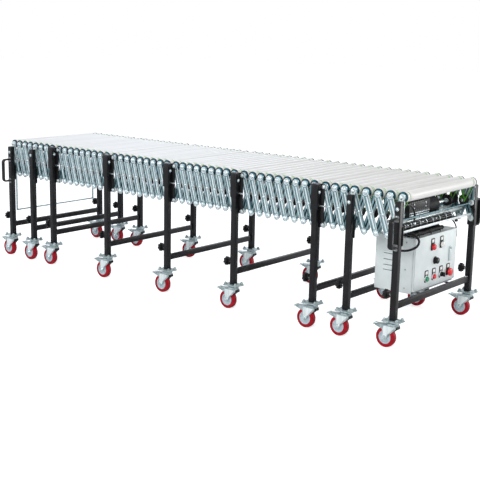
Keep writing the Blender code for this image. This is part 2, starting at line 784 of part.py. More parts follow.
def build():
    """Builds every piece of the conveyor."""
    black = paint("black_powder_coat", "2b2b2e", 0.45, 0.2)
    zinc = paint("galvanised_steel", "b9c8cc", 0.35, 0.85)
    roller_white = paint("roller_tube", "e8e8e6", 0.4, 0.1)
    tyre_red = paint("red_polyurethane", "c41e2e", 0.4, 0.0)
    sheet_grey = paint("light_grey_sheet", "dfe5e6", 0.4, 0.2)
    motor_black = paint("motor_black", "202124", 0.5, 0.3)
    rubber = paint("cable_rubber", "1b1b1d", 0.6, 0.0)
    plastic_black = paint("black_plastic", "1e1e20", 0.4, 0.0)
    green = paint("green_plastic", "0a8a60", 0.35, 0.0)
    red = paint("red_plastic", "f0303a", 0.35, 0.0)

    modules, frames = lay_out()
    for number, axles in enumerate(modules, 1):
        at_first, at_last = number == 1, number == len(modules)
        capped = axles[:1] * at_first + axles[-1:] * at_last
        lattice(number, axles, zinc, capped, at_last)
        roller_set(number, axles, roller_white)
    for number, x in enumerate(frames):
        leg_frame(number, x, black)
        for side, word in ((-1, "near"), (1, "far")):
            wheel(f"wheel_{number + 1}_{word}", x, side, tyre_red)
            if number in (0, len(frames) - 1):
                inner_leg(f"inner_leg_{number + 1}_{word}", x, side, black)
                caster(f"caster_fork_{number + 1}_{word}", x, side, zinc)

    drive_end = frames[-1]
    cabinet_body(drive_end, sheet_grey)
    cabinet_door(drive_end, sheet_grey)
    door_latch(drive_end, zinc)
    lever = rectangle(-lever_width / 2, lever_width / 2, -button_radius, button_radius)
    mushroom = polygon(0, 0, stop_head_radius, round_sides)
    mushroom_low = bezel_height + stop_travel + sink
    grip = polygon(0, 0, dial_radius, round_sides)
    control("start_button", drive_end, green)
    control("stop_button", drive_end, red)
    control("mode_selector", drive_end, plastic_black, [(lever, button_height - sink, button_height + lever_height)])
    control("emergency_stop", drive_end, red, [(mushroom, mushroom_low, mushroom_low + stop_head_height)])
    control("speed_dial", drive_end, plastic_black, [(grip, bezel_height + seat, bezel_height + dial_height)])
    drive_carrier(modules[-1], zinc)
    drive_motor(modules[-1], motor_black)
    free_end_hanger(frames[0], zinc)

    control_route = [
        (-0.081, -0.200, 0.5865),
        (-0.081, -0.200, 0.563),
        (-0.072, -0.200, 0.535),
        (-0.040, -0.200, 0.516),
        (-0.004, -0.200, 0.511),
        (0.016, -0.200, 0.490),
        (0.006, -0.203, 0.462),
        (-0.030, -0.210, 0.441),
        (-0.075, -0.214, 0.434),
        (-0.115, -0.208, 0.440),
        (-0.130, -0.182, 0.445),
        (-0.130, -0.1583, 0.445),
    ]
    supply_route = [
        (-0.081, 0.120, 0.5865),
        (-0.081, 0.120, 0.572),
        (-0.074, 0.150, 0.553),
        (-0.060, 0.205, 0.543),
        (-0.050, 0.252, 0.523),
        (-0.046, 0.284, 0.490),
        (-0.047, 0.300, 0.450),
        (-0.053, 0.302, 0.418),
        (-0.060, 0.289, 0.400),
        (-0.060, 0.2753, 0.400),
    ]
    routes = (
        ("control_cable", control_route, control_cable_diameter),
        ("supply_cable", supply_route, supply_cable_diameter),
    )
    for name, route, diameter in routes:
        cable(name, [(drive_end + x, y, z) for x, y, z in route], diameter, rubber)


for leftover in list(bpy.data.objects):
    bpy.data.objects.remove(leftover)
build()
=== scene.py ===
from math import cos, hypot, pi, radians, sin

import bmesh
import bpy
from mathutils import Matrix, Vector


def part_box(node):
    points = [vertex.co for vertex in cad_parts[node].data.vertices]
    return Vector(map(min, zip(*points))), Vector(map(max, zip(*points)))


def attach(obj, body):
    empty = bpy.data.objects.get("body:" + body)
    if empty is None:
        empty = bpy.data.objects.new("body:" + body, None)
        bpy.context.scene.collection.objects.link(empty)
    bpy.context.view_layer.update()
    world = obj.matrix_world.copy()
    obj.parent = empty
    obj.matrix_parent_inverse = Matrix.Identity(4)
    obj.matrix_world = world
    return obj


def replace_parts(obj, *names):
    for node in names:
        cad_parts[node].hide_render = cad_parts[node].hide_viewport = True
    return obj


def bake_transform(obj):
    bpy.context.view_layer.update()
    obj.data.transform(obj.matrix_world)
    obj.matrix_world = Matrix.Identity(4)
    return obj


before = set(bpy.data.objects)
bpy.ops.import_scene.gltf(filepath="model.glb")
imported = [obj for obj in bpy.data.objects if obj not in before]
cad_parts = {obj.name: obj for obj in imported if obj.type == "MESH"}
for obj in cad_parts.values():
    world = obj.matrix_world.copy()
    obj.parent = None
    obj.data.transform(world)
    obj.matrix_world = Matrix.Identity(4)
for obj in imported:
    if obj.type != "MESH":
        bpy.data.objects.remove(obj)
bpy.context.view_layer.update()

# The camera stands at chest height off the near corner of the drive end, with a long lens. It looks back
# along the conveyor, a little down, and is turned by about a degree round its line of sight.
image_width = 480
film_width = 36.0
lens_in_pixels = 1004.78
camera_place = Vector((3.7471, -4.3320, 1.4619))
camera_yaw, camera_pitch, camera_roll = 0.6868, 0.2083, 0.0204

camera = bpy.data.objects.new("camera", bpy.data.cameras.new("camera"))
bpy.context.scene.collection.objects.link(camera)
camera.data.sensor_width = film_width
camera.data.lens = lens_in_pixels / image_width * film_width
sight = Vector((-sin(camera_yaw) * cos(camera_pitch), cos(camera_yaw) * cos(camera_pitch), -sin(camera_pitch)))
level = Vector((cos(camera_yaw), sin(camera_yaw), 0))
upright = level.cross(sight)
across = level * cos(camera_roll) + upright * sin(camera_roll)
above = upright * cos(camera_roll) - level * sin(camera_roll)
camera.matrix_world = Matrix.Translation(camera_place) @ Matrix((across, above, -sight)).transposed().to_4x4()
bpy.context.scene.camera = camera


# Two cables run from the drive to the cabinet. The thick one is in a ribbed black conduit and the thin one
# has a plain rubber sheath. Both are screwed into glands, on the drive and on the cabinet's sides.
conduit_diameter, flex_diameter = 0.012, 0.007
conduit_rib_spacing, conduit_valley = 0.003, 0.15
gland_radius, gland_length = 0.010, 0.010
conduit_route = [
    (-0.081, -0.200, 0.5865), (-0.081, -0.200, 0.563), (-0.072, -0.200, 0.535), (-0.040, -0.200, 0.516),
    (-0.004, -0.200, 0.511), (0.016, -0.200, 0.490), (0.006, -0.203, 0.462), (-0.030, -0.210, 0.441),
    (-0.075, -0.214, 0.434), (-0.115, -0.208, 0.440), (-0.130, -0.182, 0.445), (-0.130, -0.1583, 0.445),
]
flex_route = [
    (-0.081, 0.120, 0.5865), (-0.081, 0.120, 0.572), (-0.074, 0.150, 0.553), (-0.060, 0.205, 0.543),
    (-0.050, 0.252, 0.523), (-0.046, 0.284, 0.490), (-0.047, 0.300, 0.450), (-0.053, 0.302, 0.418),
    (-0.060, 0.289, 0.400), (-0.060, 0.2753, 0.400),
]


def colour(code):
    """An sRGB hex colour as linear red, green, blue and alpha."""
    channels = [int(code[i : i + 2], 16) / 255 for i in (0, 2, 4)]
    return (*[c / 12.92 if c <= 0.04045 else ((c + 0.055) / 1.055) ** 2.4 for c in channels], 1)


def add_node(tree, kind, inputs=(), output=0, **settings):
    """Adds a node with its settings, and gives one of its outputs. An input is set to a value or linked."""
    made = tree.nodes.new(kind)
    for name, value in settings.items():
        setattr(made, name, value)
    for socket, value in dict(inputs).items():
        if isinstance(value, bpy.types.NodeSocket):
            tree.links.new(value, made.inputs[socket])
        else:
            made.inputs[socket].default_value = value
    return made.outputs[output] if made.outputs else made


def surface(
    name, light, dark, cloud_size, grain_size, grain_depth, roughness,
    drift=0.06, metallic=0.0, drawn=(1, 1, 1), **shine,
):
    """A finish whose colour and gloss drift in soft clouds, over a fine grain. Sizes are in metres.

    The grain and the clouds are drawn out along an axis where its number is below 1.
    """
    material = bpy.data.materials.new(name)
    material.use_nodes = True
    tree = material.node_tree
    shader = tree.nodes["Principled BSDF"]
    place = add_node(tree, "ShaderNodeTexCoord", output="Object")
    place = add_node(tree, "ShaderNodeMapping", {"Vector": place, "Scale": drawn})
    cloud = add_node(tree, "ShaderNodeTexNoise", {"Vector": place, "Scale": 1 / cloud_size, "Detail": 3.0})
    tint = add_node(tree, "ShaderNodeValToRGB", {"Fac": cloud})
    for stop, at, code in zip(tint.node.color_ramp.elements, (0.35, 0.65), (dark, light)):
        stop.position, stop.color = at, colour(code)
    gloss = {"Value": cloud, "To Min": roughness - drift, "To Max": roughness + drift}
    gloss = add_node(tree, "ShaderNodeMapRange", gloss)
    grain = add_node(tree, "ShaderNodeTexNoise", {"Vector": place, "Scale": 1 / grain_size, "Detail": 2.0})
    bump = add_node(tree, "ShaderNodeBump", {"Height": grain, "Distance": grain_depth, "Strength": 0.7})
    for socket, value in (("Base Color", tint), ("Roughness", gloss), ("Normal", bump)):
        tree.links.new(value, shader.inputs[socket])
    shader.inputs["Metallic"].default_value = metallic
    for socket, value in shine.items():
        shader.inputs[socket.replace("_", " ")].default_value = value
    return material


def geometry_tree(name, **inputs):
    """A new geometry tree, and the sockets of its named inputs. A text stands for a material."""
    tree = bpy.data.node_groups.new(name, "GeometryNodeTree")
    for way in ("INPUT", "OUTPUT"):
        tree.interface.new_socket("Geometry", in_out=way, socket_type="NodeSocketGeometry")
    for label, value in inputs.items():
        kind = {int: "NodeSocketInt", float: "NodeSocketFloat", str: "NodeSocketMaterial"}[type(value)]
        socket = tree.interface.new_socket(label.replace("_", " "), in_out="INPUT", socket_type=kind)
        if not isinstance(value, str):
            socket.default_value = value
    return tree, add_node(tree, "NodeGroupInput").node.outputs


def graft(shape, tree, materials, paths, turned=(0, 0, 0), **sizes):
    """Adds to a shape what a geometry tree makes of some paths of points, all turned by the same angles.

    The materials are the piece's own, in its order.
    """
    points, edges = [], []
    for path in paths:
        edges += [(len(points) + i, len(points) + i + 1) for i in range(len(path) - 1)]
        points += [tuple(point) for point in path]
    seeds = bpy.data.meshes.new(tree.name)
    seeds.from_pydata(points, edges, [])
    for place in seeds.attributes.new("turned", "FLOAT_VECTOR", "POINT").data:
        place.vector = turned
    holder = bpy.data.objects.new(tree.name, seeds)
    bpy.context.scene.collection.objects.link(holder)
    growth = holder.modifiers.new(tree.name, "NODES")
    growth.node_group = tree
    for socket in tree.interface.items_tree:
        if socket.name.replace(" ", "_") in sizes:
            growth[socket.identifier] = sizes[socket.name.replace(" ", "_")]
    bpy.context.view_layer.update()
    made = bpy.data.meshes.new_from_object(holder.evaluated_get(bpy.context.evaluated_depsgraph_get()))
    holder.modifiers.clear()
    slots = [[m.name for m in materials].index(m.name) if m else 0 for m in made.materials]
    for face in made.polygons:
        face.material_index = slots[face.material_index]
    shape.from_mesh(made)
    bpy.data.objects.remove(holder)
    for mesh in (made, seeds):
        bpy.data.meshes.remove(mesh)


# Bars, hoses and cords: a round section that follows a path. Where it has ribs, the points between them draw in.
bar_tree, given = geometry_tree(
    "round_bar_along_a_path", Radius=0.01, Sides=12, Rib_Points=2, Valley=0.0, Material=""
)
path = add_node(bar_tree, "GeometryNodeMeshToCurve", {"Mesh": given["Geometry"]})
ring = {"Resolution": given["Sides"], "Radius": given["Radius"]}
ring = add_node(bar_tree, "GeometryNodeCurvePrimitiveCircle", ring)
beat = add_node(bar_tree, "GeometryNodeInputIndex")
beat = add_node(bar_tree, "ShaderNodeMath", {0: beat, 1: given["Rib Points"]}, operation="MODULO")
middle = add_node(bar_tree, "ShaderNodeMath", {0: given["Rib Points"], 1: 0.5, 2: -0.5}, operation="MULTIPLY_ADD")
valley = add_node(bar_tree, "ShaderNodeMath", {0: beat, 1: middle}, operation="GREATER_THAN")
valley = add_node(bar_tree, "ShaderNodeMath", {0: valley, 1: given["Valley"]}, operation="MULTIPLY")
size = add_node(bar_tree, "ShaderNodeMath", {0: 1.0, 1: valley}, operation="SUBTRACT")
swept = {"Curve": path, "Profile Curve": ring, "Scale": size, "Fill Caps": True}
swept = add_node(bar_tree, "GeometryNodeCurveToMesh", swept)
swept = add_node(bar_tree, "GeometryNodeRealizeInstances", {"Geometry": swept})
swept = add_node(bar_tree, "GeometryNodeSetMaterial", {"Geometry": swept, "Material": given["Material"]})
add_node(bar_tree, "NodeGroupOutput", {"Geometry": swept})


def turn(shape, profile, centre, along, sides=32, slot=0, hollow=False):
    """Adds a turned shape about an axis through a centre, from its (radius, place along the axis) points."""
    order = {"X": (2, 0, 1), "Y": (0, 2, 1), "Z": (0, 1, 2)}[along]
    centre = Vector(centre)
    rings = []
    for radius, place in profile:
        turns = [2 * pi * (i + 0.5) / sides for i in range(sides if radius else 1)]
        points = [(radius * cos(t), radius * sin(t), place) for t in turns]
        rings.append([shape.verts.new(centre + Vector([point[i] for i in order])) for point in points])
    pairs = list(zip(rings, rings[1:])) + [(rings[-1], rings[0])] * hollow
    for first, second in pairs:
        for i in range(sides):
            j = (i + 1) % sides
            ends = [first[i], first[j]] if len(first) > 1 else [first[0]]
            ends += [second[j], second[i]] if len(second) > 1 else [second[0]]
            shape.faces.new(ends).material_index = slot


def finished(name, shape, *materials, edge=0.0):
    """The piece that a mesh becomes: faces outwards, edges eased, and smooth up to its creases."""
    bmesh.ops.recalc_face_normals(shape, faces=shape.faces)
    mesh = bpy.data.meshes.new(name)
    shape.to_mesh(mesh)
    shape.free()
    for material in materials:
        mesh.materials.append(material)
    piece = bpy.data.objects.new(name, mesh)
    bpy.context.scene.collection.objects.link(piece)
    if edge:
        easing = piece.modifiers.new("eased_edges", "BEVEL")
        easing.width, easing.segments = edge, 2
        easing.limit_method, easing.angle_limit = "ANGLE", radians(40)
        bpy.context.view_layer.update()
        plain = bpy.data.meshes.new_from_object(piece.evaluated_get(bpy.context.evaluated_depsgraph_get()))
        piece.modifiers.clear()
        piece.data = plain
        plain.name = name
    piece.data.shade_smooth()
    piece.data.set_sharp_from_angle(angle=radians(35))
    return piece


def smooth_route(route, x, step, samples=12):
    """Points at even steps along a smooth curve through a route whose ends are straight leads."""
    points = [Vector(p) + Vector((x, 0, 0)) for p in route]
    fine = []
    for a, b, c, d in zip(points, points[1:], points[2:], points[3:]):
        bow, twist = a * 2 - b * 5 + c * 4 - d, b * 3 - a - c * 3 + d
        for t in [i / samples for i in range(samples)]:
            fine.append((b * 2 + (c - a) * t + bow * t**2 + twist * t**3) / 2)
    fine = [points[0], *fine, points[-2], points[-1]]
    lengths = [0.0]
    for a, b in zip(fine, fine[1:]):
        lengths.append(lengths[-1] + (b - a).length)
    count = round(lengths[-1] / step)
    even, at = [], 0
    for i in range(count + 1):
        target = lengths[-1] * i / count
        while at < len(fine) - 2 and lengths[at + 1] < target:
            at += 1
        even.append(fine[at].lerp(fine[at + 1], (target - lengths[at]) / (lengths[at + 1] - lengths[at])))
    return even, lengths[-1]


# Moulded rubber and nylon, dull black: a faint sheen, and a fine matt grain that hides fingerprints.
rubber = surface(
    "moulded_rubber_cable_sheath", "202023", "131315", 0.02, 0.0006, 0.0002, 0.5, Specular_IOR_Level=0.3
)
caster_trail = 0.034
wheel_9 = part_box("wheel_9_near")
drive_end_x = (wheel_9[0].x + wheel_9[1].x) / 2 + caster_trail
for name, route, diameter, step in (
    ("control_cable", conduit_route, conduit_diameter, conduit_rib_spacing / 2),
    ("supply_cable", flex_route, flex_diameter, flex_diameter / 2),
):
    points, length = smooth_route(route, drive_end_x, step)
    ribbed = name == "control_cable"
    valley = conduit_valley if ribbed else 0.0
    cable = bmesh.new()
    graft(cable, bar_tree, [rubber], [points], Radius=diameter / 2, Sides=14, Valley=valley, Material=rubber)
    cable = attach(finished(name + "_sheath", cable, rubber), "drive_end")
    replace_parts(cable, name)

# Cable glands: a hexagon nut against the housing, a domed cap, and a tapered sleeve that eases the cable's bend.
cap_black = surface(
    "moulded_nylon_gland", "2a2a2d", "1b1b1e", 0.01, 0.0006, 0.0001, 0.38, Specular_IOR_Level=0.35
)
cap_radius, gland_nut = 0.0094, gland_length * 0.55
glands = bmesh.new()
for place, along, way, cable_radius, sleeve in (
    ((drive_end_x - 0.130, -0.148, 0.445), "Y", -1, 0.0062, 0.022),
    ((drive_end_x - 0.060, 0.265, 0.400), "Y", 1, 0.0037, 0.020),
    ((drive_end_x - 0.081, -0.200, 0.5880), "Z", -1, 0.0062, 0.022),
    ((drive_end_x - 0.081, 0.120, 0.5830), "Z", -1, 0.0037, 0.014),
):
    nut = [(0, -0.001), (gland_radius, -0.001), (gland_radius, gland_nut), (0, gland_nut)]
    cap = [(0, 0.005), (cap_radius, 0.005), (cap_radius, 0.008), (0.0080, 0.0105), (cable_radius + 0.0014, 0.0115)]
    cap += [(cable_radius + 0.0010, sleeve * 0.8), (cable_radius + 0.0002, sleeve + 0.006), (0, sleeve + 0.006)]
    for profile, sides in ((nut, 6), (cap, 20)):
        turn(glands, [(r, way * h) for r, h in profile], place, along, sides)
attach(finished("cable_glands", glands, cap_black), "drive_end")


# The bed is made of 52 rollers, 50 mm across: white plastic tube, with a pressed steel ring and a bearing in
# each end, on steel axles. They ride in 46 scissor cells, and each cell's pitch sets how far apart they stand.
cells_by_stretch = (4, 3, 8, 8, 8, 8, 3, 4)
open_shares = (1.0, 1.0, 1.0, 1.0, 1.0, 1.07, 1.07, 1.27)
closed_pitch, module_join = 0.052, 0.066
bed_top, roller_radius, roller_half = 0.741, 0.025, 0.338
axle_z = bed_top - roller_radius
link_rise = 0.188
foot_z = axle_z - link_rise
cross_z = axle_z - link_rise / 2
belt_places, belt_radius = (0.316, 0.306), 0.0020
roller_wrap, pulley_wrap = 0.0226, 0.0098
link_inner_face, link_joint_face, link_outer_face = 0.3475, 0.3505, 0.3535
both_sides = ((-1, "-Y"), (1, "+Y"))

wheel_boxes = {number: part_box(f"wheel_{number}_near") for number in range(1, 10)}
frame_x = {number: (low.x + high.x) / 2 + caster_trail for number, (low, high) in wheel_boxes.items()}
frame_body = {number: f"frame_{number}" for number in range(1, 9)} | {9: "drive_end"}
bracket_frames = range(3, 8)
stretches = []
for number, (cells, share) in enumerate(zip(cells_by_stretch, open_shares), 1):
    first = frame_x[number] + (module_join / 2 if number in bracket_frames else 0)
    module = 1 if number < 3 else min(number - 1, 6)
    axles = [first + i * closed_pitch * share for i in range(cells + 1)]
    first_gap = {2: 4, 8: 3}.get(number, 0)
    stretches.append({"number": number, "module": module, "cells": cells, "axles": axles, "first_gap": first_gap})


def carry(piece, stretch, cell):
    """Attaches a piece in a stretch's first or last cell to the leg frame at that end; any other piece keeps its
    place, baked into its mesh.
    """
    near_end, drive_side = frame_body[stretch["number"]], frame_body[stretch["number"] + 1]
    if cell in (0, stretch["cells"]):
        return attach(piece, drive_side if cell else near_end)
    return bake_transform(piece)


def lean(piece):
    """Bakes a piece's place into its mesh; the piece does not lean as its scissor cell opens."""
    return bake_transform(piece)


def arc(radius, steps, start=0.0, sweep_angle=pi):
    """Even points on an arc about the origin, as (u, v) pairs."""
    turns = [start + sweep_angle * i / steps for i in range(steps + 1)]
    return [(radius * cos(t), radius * sin(t)) for t in turns]


def place_on_points(tree, given, parts, marked="", marked_material=""):
    """Ends a tree: its parts are joined, set on each point as the point is turned, and given their materials.

    Faces with the marked attribute get the second material.
    """
    whole = add_node(tree, "GeometryNodeJoinGeometry")
    for part in parts:
        tree.links.new(part, whole.node.inputs["Geometry"])
    turned = add_node(tree, "GeometryNodeInputNamedAttribute", {"Name": "turned"}, data_type="FLOAT_VECTOR")
    turned = add_node(tree, "FunctionNodeEulerToRotation", {"Euler": turned})
    placed = {"Points": given["Geometry"], "Instance": whole, "Rotation": turned}
    placed = add_node(tree, "GeometryNodeInstanceOnPoints", placed)
    placed = add_node(tree, "GeometryNodeRealizeInstances", {"Geometry": placed})
    placed = add_node(tree, "GeometryNodeSetMaterial", {"Geometry": placed, "Material": given["Material"]})
    if marked:
        chosen = add_node(tree, "GeometryNodeInputNamedAttribute", {"Name": marked}, data_type="BOOLEAN")
        placed = {"Geometry": placed, "Selection": chosen, "Material": given[marked_material]}
        placed = add_node(tree, "GeometryNodeSetMaterial", placed)
    add_node(tree, "NodeGroupOutput", {"Geometry": placed})


# Roller tube: extruded PVC, off-white and half matt, with faint draw lines along it and a little scuffing.
tube_white = surface(
    "extruded_pvc_roller_tube", "f2f2f0", "e7e7e4", 0.03, 0.0008, 0.0001, 0.36,
    drawn=(1, 0.05, 1), Specular_IOR_Level=0.4,
)
# End ring: pressed steel, plated with blue passivated zinc: a deep teal almost black until it turns to the light.
ring_teal = surface(
    "blue_passivated_steel_ring", "0d252d", "061318", 0.012, 0.0005, 0.0001, 0.30, Specular_IOR_Level=0.35
)
# Bearing cup: the same finish inside the ring, coloured a strong blue-green, much lighter than the ring.
cup_teal = surface(
    "blue_green_passivated_bearing_cup", "12869c", "0a6075", 0.010, 0.0005, 0.0001, 0.34, metallic=0.2
)
# Bearing discs, nuts and bolts: bright zinc plating, nearly white where it catches the light.
bright_zinc = surface(
    "bright_zinc_plated_fastener", "e4ecee", "b4c3c7", 0.008, 0.0004, 0.00008, 0.25, metallic=0.7
)
# Belt: round polyurethane cord, welded to a loop, bright green and a little waxy.
belt_green = surface(
    "welded_polyurethane_belt", "62bd2e", "4ba31f", 0.02, 0.0006, 0.00008, 0.35, Subsurface_Weight=0.08
)

# Nuts, bolts and screws: a washer, a head with some sides, and a dome on it. Each point is one, turned to face out.
facing = {
    "-Y": (pi / 2, 0, 0), "+Y": (-pi / 2, 0, 0), "+X": (0, pi / 2, 0), "-X": (0, -pi / 2, 0),
    "+Z": (0, 0, 0), "-Z": (pi, 0, 0),
}
fastener_tree, given = geometry_tree(
    "nuts_bolts_and_screws", Radius=0.005, Sides=6, Height=0.004, Dome=0.002, Washer=0.007, Material=""
)
washer = {"Vertices": 10, "Radius": given["Washer"], "Depth": 0.0016}
washer = add_node(fastener_tree, "GeometryNodeMeshCylinder", washer)
head = {"Vertices": given["Sides"], "Radius": given["Radius"], "Depth": given["Height"]}
head = add_node(fastener_tree, "GeometryNodeMeshCylinder", head)
lift = add_node(fastener_tree, "ShaderNodeMath", {0: given["Height"], 1: 0.5}, operation="MULTIPLY")
lift = add_node(fastener_tree, "ShaderNodeCombineXYZ", {"Z": lift})
head = add_node(fastener_tree, "GeometryNodeTransform", {"Geometry": head, "Translation": lift})
dome = add_node(fastener_tree, "GeometryNodeMeshUVSphere", {"Segments": 8, "Rings": 5, "Radius": 1.0})
spread = add_node(fastener_tree, "ShaderNodeMath", {0: given["Radius"], 1: 0.84}, operation="MULTIPLY")
spread = add_node(fastener_tree, "ShaderNodeCombineXYZ", {"X": spread, "Y": spread, "Z": given["Dome"]})
crown = add_node(fastener_tree, "ShaderNodeCombineXYZ", {"Z": given["Height"]})
dome = add_node(fastener_tree, "GeometryNodeTransform", {"Geometry": dome, "Translation": crown, "Scale": spread})
place_on_points(fastener_tree, given, (washer, head, dome))


def fasten(shape, materials, points, way, radius, sides, height, dome, washer, metal=bright_zinc):
    """Adds a nut, bolt or screw at each point, facing one way. Its materials are those of the shape."""
    graft(
        shape, fastener_tree, materials, [[point] for point in points], facing[way],
        Radius=radius, Sides=sides, Height=height, Dome=dome, Washer=washer, Material=metal,
    )


tube_end, groove_radius = 0.0225, roller_radius - 0.0035
tube_profile = [(0, -roller_half), (tube_end, -roller_half), (roller_radius, -roller_half + 0.002)]
for y in sorted(side * place for side in (-1, 1) for place in belt_places):
    tube_profile += [(roller_radius, y - 0.004), (groove_radius, y - 0.0018)]
    tube_profile += [(groove_radius, y + 0.0018), (roller_radius, y + 0.004)]
tube_profile += [(roller_radius, roller_half - 0.002), (tube_end, roller_half), (0, roller_half)]
ring_profile = [(0.0190, 0), (0.0247, 0), (0.0254, 0.0012), (0.0251, 0.0068)]
ring_profile += [(0.0240, 0.0082), (0.0224, 0.0078), (0.0216, 0.0028), (0.0190, 0.0022)]
cup_profile = [(0, 0.0004), (0.0218, 0.0004), (0.0218, 0.0034), (0.0150, 0.0040), (0, 0.0040)]
hub_profile = [(0, 0.0036), (0.0158, 0.0036), (0.0150, 0.0054), (0.0125, 0.0068)]
hub_profile += [(0.0085, 0.0070), (0.0085, 0.0092), (0, 0.0092)]
# The radius, sides, height, dome and washer of the nut on an axle and of the bolt at a link's foot.
axle_nut, foot_bolt = (0.0098, 6, 0.006, 0.0024, 0.0125), (0.0126, 12, 0.0016, 0.0050, 0.0150)
roller_finishes = (tube_white, ring_teal, bright_zinc, belt_green, cup_teal)
roller_number = 0
for stretch in stretches:
    for cell, x in enumerate(stretch["axles"]):
        if cell == 0 and stretch["number"] in (2, 8):
            continue
        first, last = cell == 0, cell == stretch["cells"]
        gap = stretch["first_gap"] + cell
        gaps = [gap - 1] * (not first) + [gap] * (not last or stretch["number"] in (1, 7))
        roller = bmesh.new()
        turn(roller, tube_profile, (x, 0, axle_z), "Y", 32)
        for side, way in both_sides:
            for profile, edges, slot in ((ring_profile, 28, 1), (cup_profile, 20, 4), (hub_profile, 16, 2)):
                outer = [(r, side * (roller_half + y)) for r, y in profile]
                turn(roller, outer, (x, 0, axle_z), "Y", edges, slot, hollow=profile is ring_profile)
            wraps = [
                [(x + u, side * belt_places[gap % 2], axle_z + v) for u, v in arc(roller_wrap, 12)] for gap in gaps
            ]
            graft(roller, bar_tree, roller_finishes, wraps, Radius=belt_radius, Sides=8, Material=belt_green)
            if not (first or last):
                fasten(roller, roller_finishes, [(x, side * link_outer_face, axle_z)], way, *axle_nut)
                fasten(roller, roller_finishes, [(x, side * link_outer_face, foot_z)], way, *foot_bolt)
        roller_number += 1
        piece = finished(f"roller_{roller_number}", roller, *roller_finishes)
        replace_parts(piece, f"roller_set_{stretch['module']}")
        carry(piece, stretch, cell)


# Scissor links: channels pressed from galvanised strip, 32 mm wide, with round ends, turned edges and a rib along
# the middle. The outer layer leans down towards the drive end and is riveted to the inner one at its middle.
link_width, link_skin = 0.032, 0.0016


def strip(start, end, half, steps=8):
    """An outline in XZ with round ends about two points."""
    start, end = Vector(start), Vector(end)
    along = (end - start).normalized()
    side = Vector((-along.y, along.x))
    turns = [pi * i / steps for i in range(steps + 1)]
    points = [end + (side * cos(t) + along * sin(t)) * half for t in turns]
    return points + [start - (side * cos(t) + along * sin(t)) * half for t in turns]


def link_turn(start, end, outward):
    """The angles that lay a link from its first pivot to its second, with its outer face towards outward in Y."""
    along = Vector((end[0] - start[0], 0, end[1] - start[1])).normalized()
    out = Vector((0, outward, 0))
    return tuple(Matrix((along, out.cross(along), out)).transposed().to_euler())


# Galvanised strip: blue-grey zinc, darkened over the web and the pressed hollows as painted shade, with its sheen in
# streaks along the strip.
shaded_zinc = surface(
    "galvanised_strip_dulled_in_its_hollows", "86a5ac", "4f727b", 0.012, 0.0007, 0.00008, 0.42,
    metallic=0.35, drawn=(1, 1, 0.06),
)
# The raised edges, ribs and end pads are painted near-white: a painted highlight where they catch the light.
highlight_zinc = surface(
    "galvanised_strip_rubbed_bright", "f2f8f8", "d0dde0", 0.012, 0.0006, 0.00006, 0.30,
    metallic=0.3, drawn=(1, 1, 0.06),
)
link_finishes = (shaded_zinc, highlight_zinc)

link_tree, given = geometry_tree(
    "pressed_link", Length=0.2, Width=0.027, Skin=0.0016, Edge_Height=0.006, Edge_Width=0.0024,
    Edge_Start=0.015, Edge_End=0.015, Deep_Height=0.003, Deep_Start=0.1215, Deep_End=0.016,
    Rib_Width=0.007, Rib_Height=0.0008, Material="", Rubbed="",
)


def mark(tree, part, name, value):
    """Gives all faces of a part a true or false attribute."""
    named = {"Geometry": part, "Name": name, "Value": value}
    return add_node(tree, "GeometryNodeStoreNamedAttribute", named, data_type="BOOLEAN", domain="FACE")


def bar_on_link(start_gap, end_gap, width, height, shift, rubbed):
    """A bar along the link between two gaps from its pivots, as nodes."""
    reach = add_node(link_tree, "ShaderNodeMath", {0: given["Length"], 1: start_gap}, operation="SUBTRACT")
    reach = add_node(link_tree, "ShaderNodeMath", {0: reach, 1: end_gap}, operation="SUBTRACT")
    centre = add_node(link_tree, "ShaderNodeMath", {0: reach, 1: 0.5, 2: start_gap}, operation="MULTIPLY_ADD")
    lift = add_node(link_tree, "ShaderNodeMath", {0: height, 1: 0.5}, operation="MULTIPLY")
    size = add_node(link_tree, "ShaderNodeCombineXYZ", {"X": reach, "Y": width, "Z": height})
    place = add_node(link_tree, "ShaderNodeCombineXYZ", {"X": centre, "Y": shift, "Z": lift})
    bar = add_node(link_tree, "GeometryNodeMeshCube", {"Size": size})
    bar = add_node(link_tree, "GeometryNodeTransform", {"Geometry": bar, "Translation": place})
    return mark(link_tree, bar, "rubbed", rubbed)
